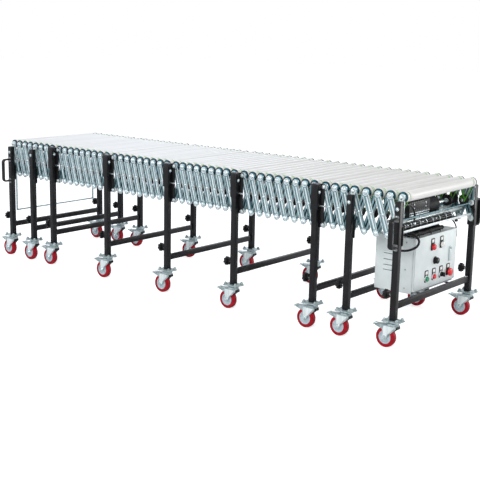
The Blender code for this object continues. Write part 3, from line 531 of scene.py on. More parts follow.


# The turned edges, the rib and the end pads are marked to take the near-white painted highlight; the web and the deep
# flanges take the painted shade.
parts = [bar_on_link(0.0, 0.0, given["Width"], given["Skin"], 0.0, False)]
inset = add_node(link_tree, "ShaderNodeMath", {0: given["Width"], 1: 0.5}, operation="MULTIPLY")
inset = add_node(link_tree, "ShaderNodeMath", {0: given["Edge Width"], 1: -0.49, 2: inset}, operation="MULTIPLY_ADD")
other = add_node(link_tree, "ShaderNodeMath", {0: inset, 1: -1.0}, operation="MULTIPLY")
for shift in (inset, other):
    for kind, rubbed in (("Edge", True), ("Deep", False)):
        start, end, height = (given[f"{kind} {word}"] for word in ("Start", "End", "Height"))
        parts.append(bar_on_link(start, end, given["Edge Width"], height, shift, rubbed))
rib_height = add_node(link_tree, "ShaderNodeMath", {0: given["Skin"], 1: given["Rib Height"]}, operation="ADD")
parts.append(bar_on_link(0.020, 0.020, given["Rib Width"], rib_height, 0.0, True))
for at_end in (0.0, 1.0):
    pad_height = add_node(link_tree, "ShaderNodeMath", {0: given["Skin"], 1: 0.0003}, operation="ADD")
    pad = add_node(link_tree, "ShaderNodeMath", {0: given["Width"], 1: 0.501}, operation="MULTIPLY")
    pad = add_node(link_tree, "GeometryNodeMeshCylinder", {"Vertices": 16, "Radius": pad, "Depth": pad_height})
    place = add_node(link_tree, "ShaderNodeMath", {0: given["Length"], 1: at_end}, operation="MULTIPLY")
    lift = add_node(link_tree, "ShaderNodeMath", {0: given["Skin"], 1: 0.5}, operation="MULTIPLY")
    place = add_node(link_tree, "ShaderNodeCombineXYZ", {"X": place, "Z": lift})
    pad = add_node(link_tree, "GeometryNodeTransform", {"Geometry": pad, "Translation": place})
    parts.append(mark(link_tree, pad, "rubbed", True))
place_on_points(link_tree, given, parts, "rubbed", "Rubbed")

# Under each gap hang a small belt pulley and, outside it on the rivet, a large thin idler of black nylon. The
# idlers stand in two rows by turns, so that they pass each other when the bed closes.
idler_black = surface(
    "moulded_black_nylon_idler", "19191b", "101012", 0.012, 0.0008, 0.0001, 0.4, Specular_IOR_Level=0.3
)
pulley_profile = [(0, -0.0075), (0.011, -0.0075), (0.011, -0.0058), (0.0082, -0.0045), (0.0082, -0.0015), (0.010, 0)]
pulley_profile += [(r, -y) for r, y in reversed(pulley_profile[:-1])]
idler_profile = [(0, 0.3325), (0.0180, 0.3325), (0.0195, 0.3335), (0.0270, 0.3335)]
idler_profile += [(0.0278, 0.3343), (0.0278, 0.3357), (0.0244, 0.3372), (0.0244, 0.3388)]
idler_profile += [(0.0278, 0.3403), (0.0278, 0.3417), (0.0270, 0.3425), (0, 0.3425)]
bush_profile = [(0, 0.3340), (0.0100, 0.3340), (0.0112, 0.3352), (0.0112, 0.3476), (0, 0.3476)]
idler_row, belt_spread, pin_radius = 0.0105, 0.003, 0.0042
rivet_face = link_joint_face + link_skin + 0.0008
# The radius, sides, height, dome and washer of the rivet's outer head and of the pulley's inner cap.
rivet_head, pulley_cap = (0.0066, 8, 0.0014, 0.0026, 0.0090), (0.0056, 8, 0.0020, 0.0018, 0.0080)
middle_finishes = (bright_zinc, belt_green, idler_black)
for stretch in stretches:
    for cell, (left, right) in enumerate(zip(stretch["axles"], stretch["axles"][1:])):
        falling, rising, falling_belts, rising_belts, middle = (bmesh.new() for _ in range(5))
        x = (left + right) / 2
        inset = belt_places[(stretch["first_gap"] + cell) % 2]
        fall_edge = 0.0030 if cell in (0, stretch["cells"] - 1) else 0.0064
        sizes = {
            "Length": hypot(right - left, link_rise), "Width": link_width, "Skin": link_skin,
            "Edge_End": 0.013, "Material": shaded_zinc, "Rubbed": highlight_zinc,
        }
        for side, way in both_sides:
            laid = link_turn((left, axle_z), (right, foot_z), side)
            graft(
                falling, link_tree, link_finishes, [[(left, side * link_joint_face, axle_z)]], laid,
                Edge_Height=fall_edge, Edge_Start=0.013, Rib_Height=0.0012, **sizes,
            )
            laid = link_turn((right, axle_z), (left, foot_z), -side)
            graft(
                rising, link_tree, link_finishes, [[(right, side * (link_joint_face - 0.0004), axle_z)]], laid,
                Edge_Height=0.0058, Edge_Start=0.031, Deep_Height=0.0170, Rib_Height=0.0010, **sizes,
            )
            for belts, start, y in (
                (falling_belts, left, inset - belt_spread), (rising_belts, right, inset + belt_spread),
            ):
                runs = [
                    [(start + edge * roller_wrap, side * inset, axle_z), (x + edge * pulley_wrap, side * y, cross_z)]
                    for edge in (-1, 1)
                ]
                graft(belts, bar_tree, (belt_green,), runs, Radius=belt_radius, Sides=8, Material=belt_green)
            runs = [
                [(x + u, side * (inset + shift), cross_z - v) for u, v in arc(pulley_wrap, 8)]
                for shift in (-belt_spread, belt_spread)
            ]
            graft(middle, bar_tree, middle_finishes, runs, Radius=belt_radius, Sides=8, Material=belt_green)
            turn(middle, [(r, side * inset + y) for r, y in pulley_profile], (x, 0, cross_z), "Y", 20, 2)
            row = idler_row * (cell % 2)
            turn(middle, [(r, side * (y - row)) for r, y in idler_profile], (x, 0, cross_z), "Y", 24, 2)
            pin = [(0, inset - 0.012), (pin_radius, inset - 0.012)]
            pin += [(pin_radius, link_inner_face), (0, link_inner_face)]
            turn(middle, [(r, side * y) for r, y in pin], (x, 0, cross_z), "Y", 10)
            turn(rising, [(r, side * y) for r, y in bush_profile], (left, 0, foot_z), "Y", 16, 1)
            inward = "+Y" if side < 0 else "-Y"
            fasten(middle, middle_finishes, [(x, side * rivet_face, cross_z)], way, *rivet_head)
            fasten(middle, middle_finishes, [(x, side * (inset - 0.0075), cross_z)], inward, *pulley_cap)
        number = f"{stretch['number']}_{cell + 1}"
        lattice = f"scissor_lattice_{stretch['module']}"
        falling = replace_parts(finished("falling_links_" + number, falling, *link_finishes), lattice)
        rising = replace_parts(finished("rising_links_" + number, rising, *link_finishes), lattice)
        lean(falling)
        lean(rising)
        falling_belts = finished("belts_to_pulley_" + number, falling_belts, belt_green)
        rising_belts = finished("belts_from_pulley_" + number, rising_belts, belt_green)
        lean(falling_belts)
        lean(rising_belts)
        middle = finished("pulleys_" + number, middle, *middle_finishes)
        carry(middle, stretch, cell + 0.5)


# Leg frames: nine pairs of 30 mm square steel posts, joined low down by a crossbar and coated in black powder.
# Five of them also carry wide plates and sleeves, where one module is bolted to the next.
post_inner_face, post_outer_face, post_middle = 0.358, 0.388, 0.373
post_half, post_corner, cap_half = 0.015, 0.003, 0.0135
narrow_top, bracket_top = 0.700, 0.7315
bracket_foot, bracket_step, bracket_half, bracket_skin, bracket_corner = 0.516, 0.603, 0.038, 0.005, 0.013
plate_face, plate_back = 0.354, 0.359
hanger_foot, hanger_half, guide_foot, guide_top, guide_half = 0.640, 0.0105, 0.490, 0.580, 0.020
crossbar_foot, crossbar_top, crossbar_half = 0.189, 0.219, 0.010
foot_top = 0.137


def sweep(shape, outline, low, high, along, slot=0):
    """Adds an outline in the plane across an axis, swept from low to high along it."""
    order = {"X": (2, 0, 1), "Y": (0, 2, 1), "Z": (0, 1, 2)}[along]
    rings = []
    for end in (low, high):
        points = [(*point, end) for point in outline]
        rings.append([shape.verts.new([point[i] for i in order]) for point in points])
    faces = [shape.faces.new(rings[0]), shape.faces.new(rings[1])]
    for i in range(len(outline)):
        j = (i + 1) % len(outline)
        faces.append(shape.faces.new((rings[0][i], rings[0][j], rings[1][j], rings[1][i])))
    for face in faces:
        face.material_index = slot


def rounded_block(shape, x, y, z, radius, along, slot=0, steps=3):
    """Adds a box from its (low, high) along each axis, rounded along its four edges that lie along one axis."""
    spans = {"X": (y, z, x), "Y": (x, z, y), "Z": (x, y, z)}[along]
    (a, b), (c, d), ends = [sorted(span) for span in spans]
    a, b, c, d = a + radius, b - radius, c + radius, d - radius
    points = []
    for u, v, start in ((b, d, 0), (a, d, 1), (a, c, 2), (b, c, 3)):
        turns = [pi / 2 * (start + i / steps) for i in range(steps + 1)]
        points += [(u + radius * cos(t), v + radius * sin(t)) for t in turns]
    sweep(shape, points, *ends, along, slot)


def rod(shape, radius, start, end, centre, along, sides, slot=0):
    """Adds a plain round rod from start to end along an axis through a centre."""
    turn(shape, [(0, start), (radius, start), (radius, end), (0, end)], centre, along, sides, slot)


def around(middle, half):
    """The low and high end of a span, from its middle and half its length."""
    return (middle - half, middle + half)


# Powder coat: satin black, with the fine orange peel that the baked powder leaves, greyer where it is rubbed.
black_coat = surface(
    "black_powder_coated_steel", "19191c", "0f0f11", 0.05, 0.0022, 0.0002, 0.32, Specular_IOR_Level=0.26
)
# Moulded nylon for the knobs and post caps: a deeper black, with a soft grain.
black_nylon = surface(
    "moulded_black_nylon", "141416", "0c0c0e", 0.012, 0.0008, 0.0002, 0.42, Specular_IOR_Level=0.28
)

# The radius, sides, height, dome and washer of each kind of bolt.
frame_bolts = {
    "plate": (0.0088, 6, 0.0050, 0.0020, 0.0108), "hanger": (0.0078, 10, 0.0016, 0.0034, 0.0092),
    "sleeve": (0.0080, 10, 0.0020, 0.0040, 0.0096), "crossbar": (0.0050, 6, 0.0024, 0.0014, 0.0066),
}
for number, x in frame_x.items():
    posts, fittings = bmesh.new(), bmesh.new()
    wide = number in bracket_frames
    top = bracket_top if wide else narrow_top
    crossbar = (crossbar_foot, crossbar_top)
    rounded_block(posts, around(x, crossbar_half), around(0, plate_back), crossbar, 0.002, "Y")
    bolts = {kind: [] for kind in frame_bolts}
    for side, way in both_sides:
        post = (side * post_inner_face, side * post_outer_face)
        cap = (side * (post_inner_face + 0.0015), side * (post_outer_face - 0.0015))
        rounded_block(posts, around(x, post_half), post, (foot_top, top - 0.002), post_corner, "Z")
        rounded_block(posts, around(x, cap_half), cap, (top - 0.003, top), 0.004, "Z", 1)
        plate = (side * plate_face, side * plate_back)
        if wide:
            reach, (back, front) = post_half + bracket_skin, around(x, bracket_half)
            outline = [(back, bracket_top - 0.006), (back + 0.004, bracket_top - 0.002)]
            outline += [(front - 0.004, bracket_top - 0.002), (front, bracket_top - 0.006)]
            for u, start in ((front - bracket_corner, 0), (back + bracket_corner, -pi / 2)):
                corner = arc(bracket_corner, 5, start, -pi / 2)
                outline += [(u + v, bracket_foot + bracket_corner + w) for v, w in corner]
            sweep(posts, outline, *plate, "Y")
            sleeve = (side * plate_back, side * (post_outer_face + bracket_skin))
            rounded_block(posts, around(x, reach), sleeve, (bracket_step, bracket_top - 0.001), 0.004, "Z")
            bolts["plate"] += [
                ((x + shift, side * plate_back, z), way) for shift in (-0.0315, 0.0315) for z in (axle_z, foot_z)
            ]
            bolts["sleeve"].append(((x + reach, side * post_middle, 0.690), "+X"))
            stud = [(0, 0.020), (0.0042, 0.020), (0.0042, 0.042), (0.0030, 0.0455), (0, 0.0455)]
            turn(fittings, stud, (x, side * 0.3630, 0.622), "X", 12)
        else:
            # The hanger plate is painted near-white zinc, a painted highlight.
            hanger_plate = strip((x, hanger_foot + hanger_half), (x, axle_z), hanger_half)
            sweep(fittings, hanger_plate, *plate, "Y", 1)
            rounded_block(posts, around(x, guide_half), plate, (guide_foot, guide_top), 0.004, "Y")
            bolts["hanger"].append(((x, side * post_outer_face, narrow_top - 0.035), way))
            bolts["plate"].append(((x, side * plate_back, axle_z), way))
        bolts["crossbar"].append(((x, side * 0.343, crossbar_top), "+Z"))
    posts = finished(f"leg_frame_{number}_steelwork", posts, black_coat, black_nylon, edge=0.0009)
    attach(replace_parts(posts, f"leg_frame_{number}"), frame_body[number])
    for kind, sizes in frame_bolts.items():
        for point, way in bolts[kind]:
            fasten(fittings, (bright_zinc,), [point], way, *sizes)
    fittings = finished(f"leg_frame_{number}_bolts_and_hangers", fittings, bright_zinc, highlight_zinc, edge=0.0003)
    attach(fittings, frame_body[number])


# Clamp knobs: star knobs of black nylon, moulded on zinc plated studs, one near the foot of each post.
knob_z, knob_stem = 0.256, 0.022
knob_tree, given = geometry_tree("star_knob", Lobes=7, Core=0.0175, Lobe=0.0062, Depth=0.020, Material="")
core = {"Vertices": 28, "Radius": given["Core"], "Depth": given["Depth"]}
core = add_node(knob_tree, "GeometryNodeMeshCylinder", core)
lobe = add_node(knob_tree, "ShaderNodeMath", {0: given["Depth"], 1: 0.86}, operation="MULTIPLY")
lobe = add_node(knob_tree, "GeometryNodeMeshCylinder", {"Vertices": 14, "Radius": given["Lobe"], "Depth": lobe})
round_core = {"Vertices": given["Lobes"], "Radius": given["Core"]}
round_core = add_node(knob_tree, "GeometryNodeMeshCircle", round_core)
lobes = add_node(knob_tree, "GeometryNodeInstanceOnPoints", {"Points": round_core, "Instance": lobe})
skirt = {"Vertices": 24, "Side Segments": 1, "Radius": 0.0105, "Depth": 0.030}
skirt = add_node(knob_tree, "GeometryNodeMeshCylinder", skirt)
skirt = add_node(knob_tree, "GeometryNodeTransform", {"Geometry": skirt, "Translation": (0, 0, -0.004)})
place_on_points(knob_tree, given, (core, lobes, skirt))
for number, x in frame_x.items():
    knobs = bmesh.new()
    middle = x - post_half - knob_stem - 0.008
    places = [[(middle, side * post_middle, knob_z)] for side in (-1, 1)]
    knob_finishes = (black_nylon, bright_zinc)
    graft(knobs, knob_tree, knob_finishes, places, facing["-X"], Material=black_nylon)
    for side in (-1, 1):
        centre = (x - post_half, side * post_middle, knob_z)
        rod(knobs, 0.004, -knob_stem, 0, centre, "X", 12, 1)
        rod(knobs, 0.009, -0.005, 0, centre, "X", 6, 1)
    knobs = finished(f"clamp_knobs_{number}", knobs, *knob_finishes, edge=0.0008)
    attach(knobs, frame_body[number])


# Bow handles at the two ends: flat black bar, bent at each end, on pads screwed to the posts' outer faces.
handle_foot, handle_rise, handle_reach, handle_radius, handle_bend = 0.480, 0.146, 0.055, 0.0055, 0.016
bar_width, bar_flatness = 0.024, 1.35
pad_half_width, pad_half_rise, pad_thickness, pad_screw_rise = 0.011, 0.015, 0.003, 0.0105
# Pads: mid grey over the black coat, a painted highlight where the pads catch the light.
pad_grey = surface("worn_powder_coated_pad", "9a9c9e", "76797b", 0.01, 0.0012, 0.0002, 0.45)
handle_finishes = (black_coat, pad_grey, bright_zinc)
pad_screw = (0.0036, 10, 0.0008, 0.0014, 0.0042)
for number in (1, 9):
    handles = bmesh.new()
    x = frame_x[number]
    low, high = handle_foot + handle_radius, handle_foot + handle_rise - handle_radius
    bend_y = post_outer_face + handle_reach - handle_radius - handle_bend
    for side in (-1, 1):
        path = [(0, side * post_outer_face, low)]
        for start, bend_z in ((-pi / 2, low + handle_bend), (0, high - handle_bend)):
            path += [(0, side * (bend_y + u), bend_z + v) for u, v in arc(handle_bend, 8, start, pi / 2)]
        path.append((0, side * post_outer_face, high))
        graft(handles, bar_tree, handle_finishes, [path], Radius=handle_radius, Sides=20, Material=black_coat)
    for vertex in handles.verts:
        flat = vertex.co.x / handle_radius
        vertex.co.x = x + max(-1, min(1, flat * bar_flatness)) * bar_width / 2
    for side, way in both_sides:
        for z, beyond in ((low, -pad_screw_rise), (high, pad_screw_rise)):
            pad_face = side * (post_outer_face + pad_thickness)
            pad = (side * post_outer_face, pad_face)
            rounded_block(handles, around(x, pad_half_width), pad, around(z, pad_half_rise), 0.003, "Y", 1)
            fasten(handles, handle_finishes, [(x, pad_face, z + beyond)], way, *pad_screw)
    handles = finished(f"bow_handles_{number}", handles, *handle_finishes)
    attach(handles, frame_body[number])


# Casters: each is bolted under a post with two stacked zinc plates and four domed nuts. The pressed steel fork
# trails behind its swivel race and has a brake pedal; the wheel is red polyurethane on a grey nylon hub.
plate_length, plate_width, plate_step = 0.092, 0.072, 0.003
foot_bottom, crown_top, crown_bottom = 0.131, 0.1127, 0.1087
wheel_radius, wheel_half, cheek_inner, cheek, boss_radius = 0.050, 0.015, 0.0165, 0.003, 0.0125
pedal_reach, pedal_width, pedal_web, race_radius = 0.103, 0.037, 0.0170, 0.027
inner_leg_half, inner_leg_top = 0.013, 0.467
axle_bolt = (0.0078, 6, 0.0050, 0.0010, 0.0112)

# Zinc plated pressings: paler and more even than the strip, with soft drawn marks from the press.
pressed_zinc = surface(
    "zinc_plated_pressed_steel", "c3d0d2", "8a9da1", 0.012, 0.0006, 0.0001, 0.34, metallic=0.45
)
# Tyre: cast polyurethane, deep red, smooth from its mould but scuffed dull where it rolls.
tyre_red = surface(
    "cast_polyurethane_tyre", "ae0e24", "860b1a", 0.012, 0.0009, 0.0002, 0.42, Specular_IOR_Level=0.16
)
# Hub: moulded nylon, cool pale grey, with a soft sheen round its dished web.
hub_grey = surface("moulded_grey_nylon_hub", "c3d2d9", "a6b9c1", 0.01, 0.0008, 0.0001, 0.40)


def foot_plates(shape, x, y):
    """Adds the two stacked plates under a post, with four domed nuts above and bolt heads below."""
    joint = foot_bottom + plate_step - 0.0004
    for low, high, inset in ((foot_bottom, joint, 0), (joint, foot_top, 0.003)):
        length, width = around(x, plate_length / 2 - inset), around(y, plate_width / 2 - inset)
        rounded_block(shape, length, width, (low, high), 0.006, "Z")
    for z, way, high, dome in ((foot_top, "+Z", 0.0064, 0.0062), (foot_bottom, "-Z", 0.0034, 0.0005)):
        nuts = [(x + u, y + v, z) for u in (-0.034, 0.034) for v in (-0.025, 0.025)]
        fasten(shape, (pressed_zinc,), nuts, way, 0.0082, 6, high, dome, 0.0098, pressed_zinc)


def fork(shape, x, y):
    """Adds a caster fork with its swivel race, cheeks, axle, pedal and dust guard."""
    axle_x = x - caster_trail
    race = [(0, crown_top - 0.001), (0.026, crown_top - 0.001), (0.0285, 0.1165), (0.0285, 0.1205), (0.0255, 0.1235)]
    race += [(0.0215, 0.1255), (0.024, 0.1285), (0.024, 0.1309), (0, 0.1309)]
    turn(shape, race, (x, y, 0), "Z", 32)
    back, front, half = axle_x - 0.012, x + race_radius, cheek_inner + cheek
    rounded_block(shape, (back, front), around(y, half), (crown_bottom, crown_top), 0.008, "Z")
    boss = [(axle_x + u, wheel_radius + v) for u, v in arc(boss_radius, 9, -0.05, -0.9 * pi)]
    outline = boss + [(axle_x - boss_radius, 0.062), (axle_x - 0.014, 0.090), (back - 0.0005, crown_top)]
    outline += [(front, crown_top), (front, 0.101), (x + 0.010, 0.084), (axle_x + 0.021, 0.063)]
    # The rim, a raised panel on each cheek, is painted near-white zinc: a painted highlight along the fork.
    rim = boss[1:-1] + [(axle_x - 0.0093, 0.060), (axle_x - 0.0098, 0.090), (back + 0.006, crown_top - 0.004)]
    rim += [(front - 0.006, crown_top - 0.004), (front - 0.005, 0.104), (x + 0.006, 0.087), (axle_x + 0.016, 0.064)]
    rim = [(axle_x + (u - axle_x) * 0.90, wheel_radius + (v - wheel_radius) * 0.97) for u, v in rim]
    for side in (-1, 1):
        inner = y + side * cheek_inner
        sweep(shape, outline, inner, inner + side * (cheek - 0.0008), "Y")
        sweep(shape, rim, inner + side * (cheek - 0.001), inner + side * cheek, "Y", 2)
    rod(shape, 0.004, -half, half, (axle_x, y, wheel_radius), "Y", 12)
    tip = x - pedal_reach
    pedal = [(x - 0.025, 0.1110), (x - 0.052, 0.1112), (x - 0.072, 0.1085), (tip + 0.006, 0.1065), (tip, 0.1035)]
    pedal += [(tip, 0.1012), (tip + 0.007, 0.1038), (x - 0.072, 0.1056), (x - 0.052, 0.1082), (x - 0.025, 0.1082)]
    sweep(shape, pedal, *around(y, pedal_width / 2), "Y")
    rod(shape, 0.0042, -0.0168, 0.0168, (tip + 0.0064, y, 0.1058), "Y", 14, 2)
    web = [(back + 0.004, 0.1090), (tip + 0.010, 0.1058), (tip + 0.020, 0.0990), (back + 0.004, 0.0870)]
    for low in (-pedal_web - 0.0015, pedal_web):
        sweep(shape, web, y + low, y + low + 0.0015, "Y")
    rounded_block(shape, (x + 0.014, x + 0.031), around(y, 0.0163), (0.0945, 0.1085), 0.005, "Y", 1)


fork_finishes = (pressed_zinc, black_nylon, highlight_zinc)
half_tyre = [(0.0325, 0.0138), (0.0435, wheel_half), (0.0470, 0.0142), (0.0490, 0.0112), (0.0498, 0.0060)]
half_tyre += [(wheel_radius, 0.0015)]
half_hub = [(0.0050, 0.0160), (0.0115, 0.0160), (0.0130, 0.0105), (0.0270, 0.0090), (0.0290, 0.0130)]
half_hub += [(0.0330, 0.0136)]
for number, x in frame_x.items():
    for side, word in ((-1, "near"), (1, "far")):
        y = side * post_middle
        place = f"{number}_{word}"
        adjustable = number in (1, 9)
        leg_body = f"inner_leg_{place}" if adjustable else frame_body[number]
        fork_body = f"fork_{place}" if adjustable else frame_body[number]
        foot, caster, bolts, wheel = (bmesh.new() for _ in range(4))
        foot_plates(foot, x, y)
        foot = finished(f"foot_plates_{place}", foot, pressed_zinc)
        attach(foot, leg_body)
        fork(caster, x, y)
        caster = finished(f"fork_{place}", caster, *fork_finishes, edge=0.0008)
        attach(caster, fork_body)
        for outward, way in both_sides:
            end = (x - caster_trail, y + outward * (cheek_inner + cheek), wheel_radius)
            fasten(bolts, (bright_zinc,), [end], way, *axle_bolt)
        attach(finished(f"axle_bolt_{place}", bolts, bright_zinc), fork_body)
        if adjustable:
            tube = bmesh.new()
            leg_rise = (foot_top, inner_leg_top)
            rounded_block(tube, around(x, inner_leg_half), around(y, inner_leg_half), leg_rise, 0.002, "Z")
            tube = finished(f"inner_leg_tube_{place}", tube, black_coat, edge=0.0006)
            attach(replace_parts(tube, f"inner_leg_{place}"), leg_body)
            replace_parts(caster, f"caster_fork_{place}")
        for half_profile, edges, slot in ((half_tyre, 48, 0), (half_hub, 40, 1)):
            profile = [(r, -v) for r, v in half_profile] + half_profile[::-1]
            turn(wheel, profile, (x - caster_trail, y, wheel_radius), "Y", edges, slot, hollow=True)
        wheel = finished(f"tyre_and_hub_{place}", wheel, tyre_red, hub_grey)
        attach(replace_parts(wheel, f"wheel_{place}"), f"wheel_{place}")


# Control cabinet: folded from 1.5 mm steel sheet and powder coated light grey, with louvres pressed in both of its
# sides. It stands on two flat arms from the drive end's crossbar, and holds the drive's controls on a plate.
cabinet_front, cabinet_back = drive_end_x - 0.0403, drive_end_x - 0.251
cabinet_near, cabinet_far, cabinet_foot, cabinet_top = -0.148, 0.265, 0.2095, 0.4855
sheet, lip_width, arm_thickness, seat_gap = 0.0015, 0.014, 0.004, 0.0003
seal_start, seal_end = 0.0012, 0.010
louvre_x, louvre_heights = drive_end_x - 0.1625, (0.317, 0.342, 0.370, 0.400)
screw_x, screw_heights = drive_end_x - 0.080, (0.327, 0.234, 0.462)
# Powder coated sheet: pale cool grey, nearly even, with a fine orange peel and a soft satin sheen.
grey_sheet = surface(
    "light_grey_powder_coated_sheet", "ecf4f4", "e0e9ea", 0.09, 0.0020, 0.00012, 0.40, Specular_IOR_Level=0.4
)
# Slots: the bare shadow behind a louvre. Seal: pale grey foam along the edge of the case, dusty and dull.
dark_gap = surface(
    "dusty_shadow_behind_a_louvre", "3a3f42", "26292b", 0.01, 0.0008, 0.0002, 0.8, Specular_IOR_Level=0.1
)
seal_grey = surface(
    "pale_grey_sealing_foam", "b4bdc0", "98a2a5", 0.01, 0.0008, 0.0002, 0.8, Specular_IOR_Level=0.1
)

louvre_tree, given = geometry_tree("pressed_louvres", Length=0.085, Rise=0.0040, Slot=0.0030, Material="", Gap="")
hood = add_node(louvre_tree, "GeometryNodeMeshCylinder", {"Vertices": 14, "Radius": 1.0, "Depth": given["Length"]})
turned = add_node(louvre_tree, "FunctionNodeEulerToRotation", {"Euler": (0, pi / 2, 0)})
hood = add_node(louvre_tree, "GeometryNodeTransform", {"Geometry": hood, "Rotation": turned})
hood_size = add_node(louvre_tree, "ShaderNodeCombineXYZ", {"X": 1.0, "Y": 0.0055, "Z": given["Rise"]})
hood = add_node(louvre_tree, "GeometryNodeTransform", {"Geometry": hood, "Scale": hood_size})
opening = add_node(louvre_tree, "ShaderNodeMath", {0: given["Length"], 1: 0.96}, operation="MULTIPLY")
opening = add_node(louvre_tree, "ShaderNodeCombineXYZ", {"X": opening, "Y": given["Slot"], "Z": 0.0024})
opening = add_node(louvre_tree, "GeometryNodeMeshCube", {"Size": opening})
opening = {"Geometry": opening, "Translation": (0, -0.0062, 0.0)}
opening = add_node(louvre_tree, "GeometryNodeTransform", opening)
parts = [mark(louvre_tree, part, "inside", inside) for part, inside in ((hood, False), (opening, True))]
place_on_points(louvre_tree, given, parts, "inside", "Gap")

case = bmesh.new()
depth, span, rise = (cabinet_back, cabinet_front), (cabinet_near, cabinet_far), (cabinet_foot, cabinet_top)
rounded_block(case, (cabinet_back, cabinet_back + sheet), span, rise, 0.002, "X")
for z in (cabinet_foot, cabinet_top - sheet):
    rounded_block(case, depth, span, (z, z + sheet), 0.0006, "X")
for y in (cabinet_near, cabinet_far - sheet):
    rounded_block(case, depth, (y, y + sheet), rise, 0.0006, "X")
lip = (cabinet_front - sheet, cabinet_front)
for y in (cabinet_near, cabinet_far - lip_width):
    rounded_block(case, lip, (y, y + lip_width), rise, 0.0006, "X")
for z in (cabinet_foot, cabinet_top - lip_width):
    rounded_block(case, lip, span, (z, z + lip_width), 0.0006, "X")
seal = (cabinet_front - 0.0002, cabinet_front + 0.0005)
seal_span = (cabinet_near + seal_start, cabinet_far - seal_start)
for y, z in (
    ((seal_span[0], cabinet_near + seal_end), rise), ((cabinet_far - seal_end, seal_span[1]), rise),
    (seal_span, (cabinet_foot + seal_start, cabinet_foot + seal_end)),
    (seal_span, (cabinet_top - seal_end, cabinet_top - seal_start)),
):
    rounded_block(case, seal, y, (z[0] + seal_start, z[1] - seal_start), 0.0004, "X", 1)
case = finished("cabinet_case", case, grey_sheet, seal_grey, edge=0.0005)
for face in case.data.polygons:
    if face.center.x > cabinet_front + 0.0001:
        face.material_index = 1
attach(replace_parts(case, "cabinet_body"), "drive_end")

trim = bmesh.new()
trim_finishes = (grey_sheet, dark_gap, pressed_zinc)
for face_y, way in ((cabinet_near, "-Y"), (cabinet_far, "+Y")):
    louvres = [[(louvre_x, face_y, z)] for z in louvre_heights]
    graft(trim, louvre_tree, trim_finishes, louvres, facing[way], Material=grey_sheet, Gap=dark_gap)
    screws = [(screw_x, face_y, z) for z in screw_heights]
    fasten(trim, trim_finishes, screws, way, 0.0034, 10, 0.0008, 0.0012, 0.0042, pressed_zinc)
trim = finished("cabinet_louvres_and_screws", trim, *trim_finishes)
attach(trim, "drive_end")

arms = bmesh.new()
arm_top = cabinet_foot - seat_gap
for y in (cabinet_near + 0.060, cabinet_far - 0.060):
    reach, arm_rise = (cabinet_back + 0.030, drive_end_x), (arm_top - arm_thickness, arm_top)
    rounded_block(arms, reach, around(y, 0.010), arm_rise, 0.001, "X")
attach(finished("cabinet_arms", arms, black_coat, edge=0.0006), "drive_end")

# Inside: a plate carries a grey speed controller with a black front, a row of terminals on a rail, a wiring duct
# and six short leads. All of it is a guess, as the photographed door is shut.
inside_finishes = (pressed_zinc, black_nylon, hub_grey, rubber)
plate_x, plate_margin = cabinet_back + 0.010, 0.020
plate_span = (cabinet_near + plate_margin, cabinet_far - plate_margin)
plate_rise = (cabinet_foot + plate_margin, cabinet_top - plate_margin)
terminals, terminal_width, terminal_spacing = 12, 0.0125, 0.0145
fittings = bmesh.new()
rounded_block(fittings, (plate_x, plate_x + 0.002), plate_span, plate_rise, 0.004, "X")
for y in (cabinet_near + 0.040, cabinet_far - 0.040):
    for z in (cabinet_foot + 0.035, cabinet_top - 0.035):
        rod(fittings, 0.005, -0.009, 0.001, (plate_x, y, z), "X", 10)
for low, high, y, z, corner, slot in (
    (0.002, 0.090, (-0.100, 0.010), (0.275, 0.440), 0.005, 2),
    (0.090, 0.096, (-0.092, 0.002), (0.283, 0.345), 0.004, 1),
    (0.002, 0.009, (0.030, 0.225), (0.372, 0.407), 0.002, 0),
    (0.002, 0.040, (0.030, 0.225), (0.300, 0.335), 0.002, 2),
):
    rounded_block(fittings, (plate_x + low, plate_x + high), y, z, corner, "X", slot)
for i in range(terminals):
    depth, y = (plate_x + 0.009, plate_x + 0.052), 0.038 + i * terminal_spacing
    slot = 1 if i % 3 == 1 else 2
    rounded_block(fittings, depth, (y, y + terminal_width), (0.362, 0.417), 0.002, "X", slot)
lead_to_terminals = ((0.030, 0, 0.360), (0.034, 0, 0.350), (0.030, 0.006, 0.334), (0.022, 0.010, 0.330))
lead_to_controller = ((0.030, 0, 0.275), (0.034, 0, 0.262), (0.030, 0.006, 0.246), (0.022, 0.010, 0.240))
for y in (-0.070, -0.045, -0.020, 0.060, 0.095, 0.130):
    path = [(plate_x + u, y + v, z) for u, v, z in (lead_to_terminals if y > 0 else lead_to_controller)]
    graft(fittings, bar_tree, inside_finishes, [path], Radius=0.0022, Sides=8, Material=rubber)
fittings = finished("cabinet_controls_on_plate", fittings, *inside_finishes, edge=0.0006)
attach(fittings, "drive_end")

# Wiring loom: seven ribbed black sleeves in two layers, strapped down on the cabinet's top, with a row of plugs
# at its far end.
sleeve_black = surface(
    "corrugated_black_loom_sleeve", "2b2b2e", "161618", 0.03, 0.0016, 0.0004, 0.42, Specular_IOR_Level=0.4
)
loom_finishes = (sleeve_black, bright_zinc, black_nylon)
loom_start, loom_run, loom_sag, loom_points = -0.128, 0.258, 0.0022, 60
loom = bmesh.new()
for start_x, end_x, radius, high in (
    (-0.056, -0.060, 0.0130, 0.0), (-0.086, -0.088, 0.0130, 0.0), (-0.116, -0.117, 0.0130, 0.0),
    (-0.146, -0.146, 0.0130, 0.0),
    (-0.071, -0.074, 0.0110, 0.0215), (-0.101, -0.103, 0.0110, 0.0215), (-0.131, -0.132, 0.0110, 0.0215),
):
    path = []
    for share in [i / loom_points for i in range(loom_points + 1)]:
        lift = radius + high + abs(loom_sag * sin(share * pi * 3))
        x = drive_end_x + start_x + (end_x - start_x) * share
        path.append((x, loom_start + loom_run * share, cabinet_top + lift))
    graft(loom, bar_tree, loom_finishes, [path], Radius=radius, Sides=14, Valley=0.13, Material=sleeve_black)


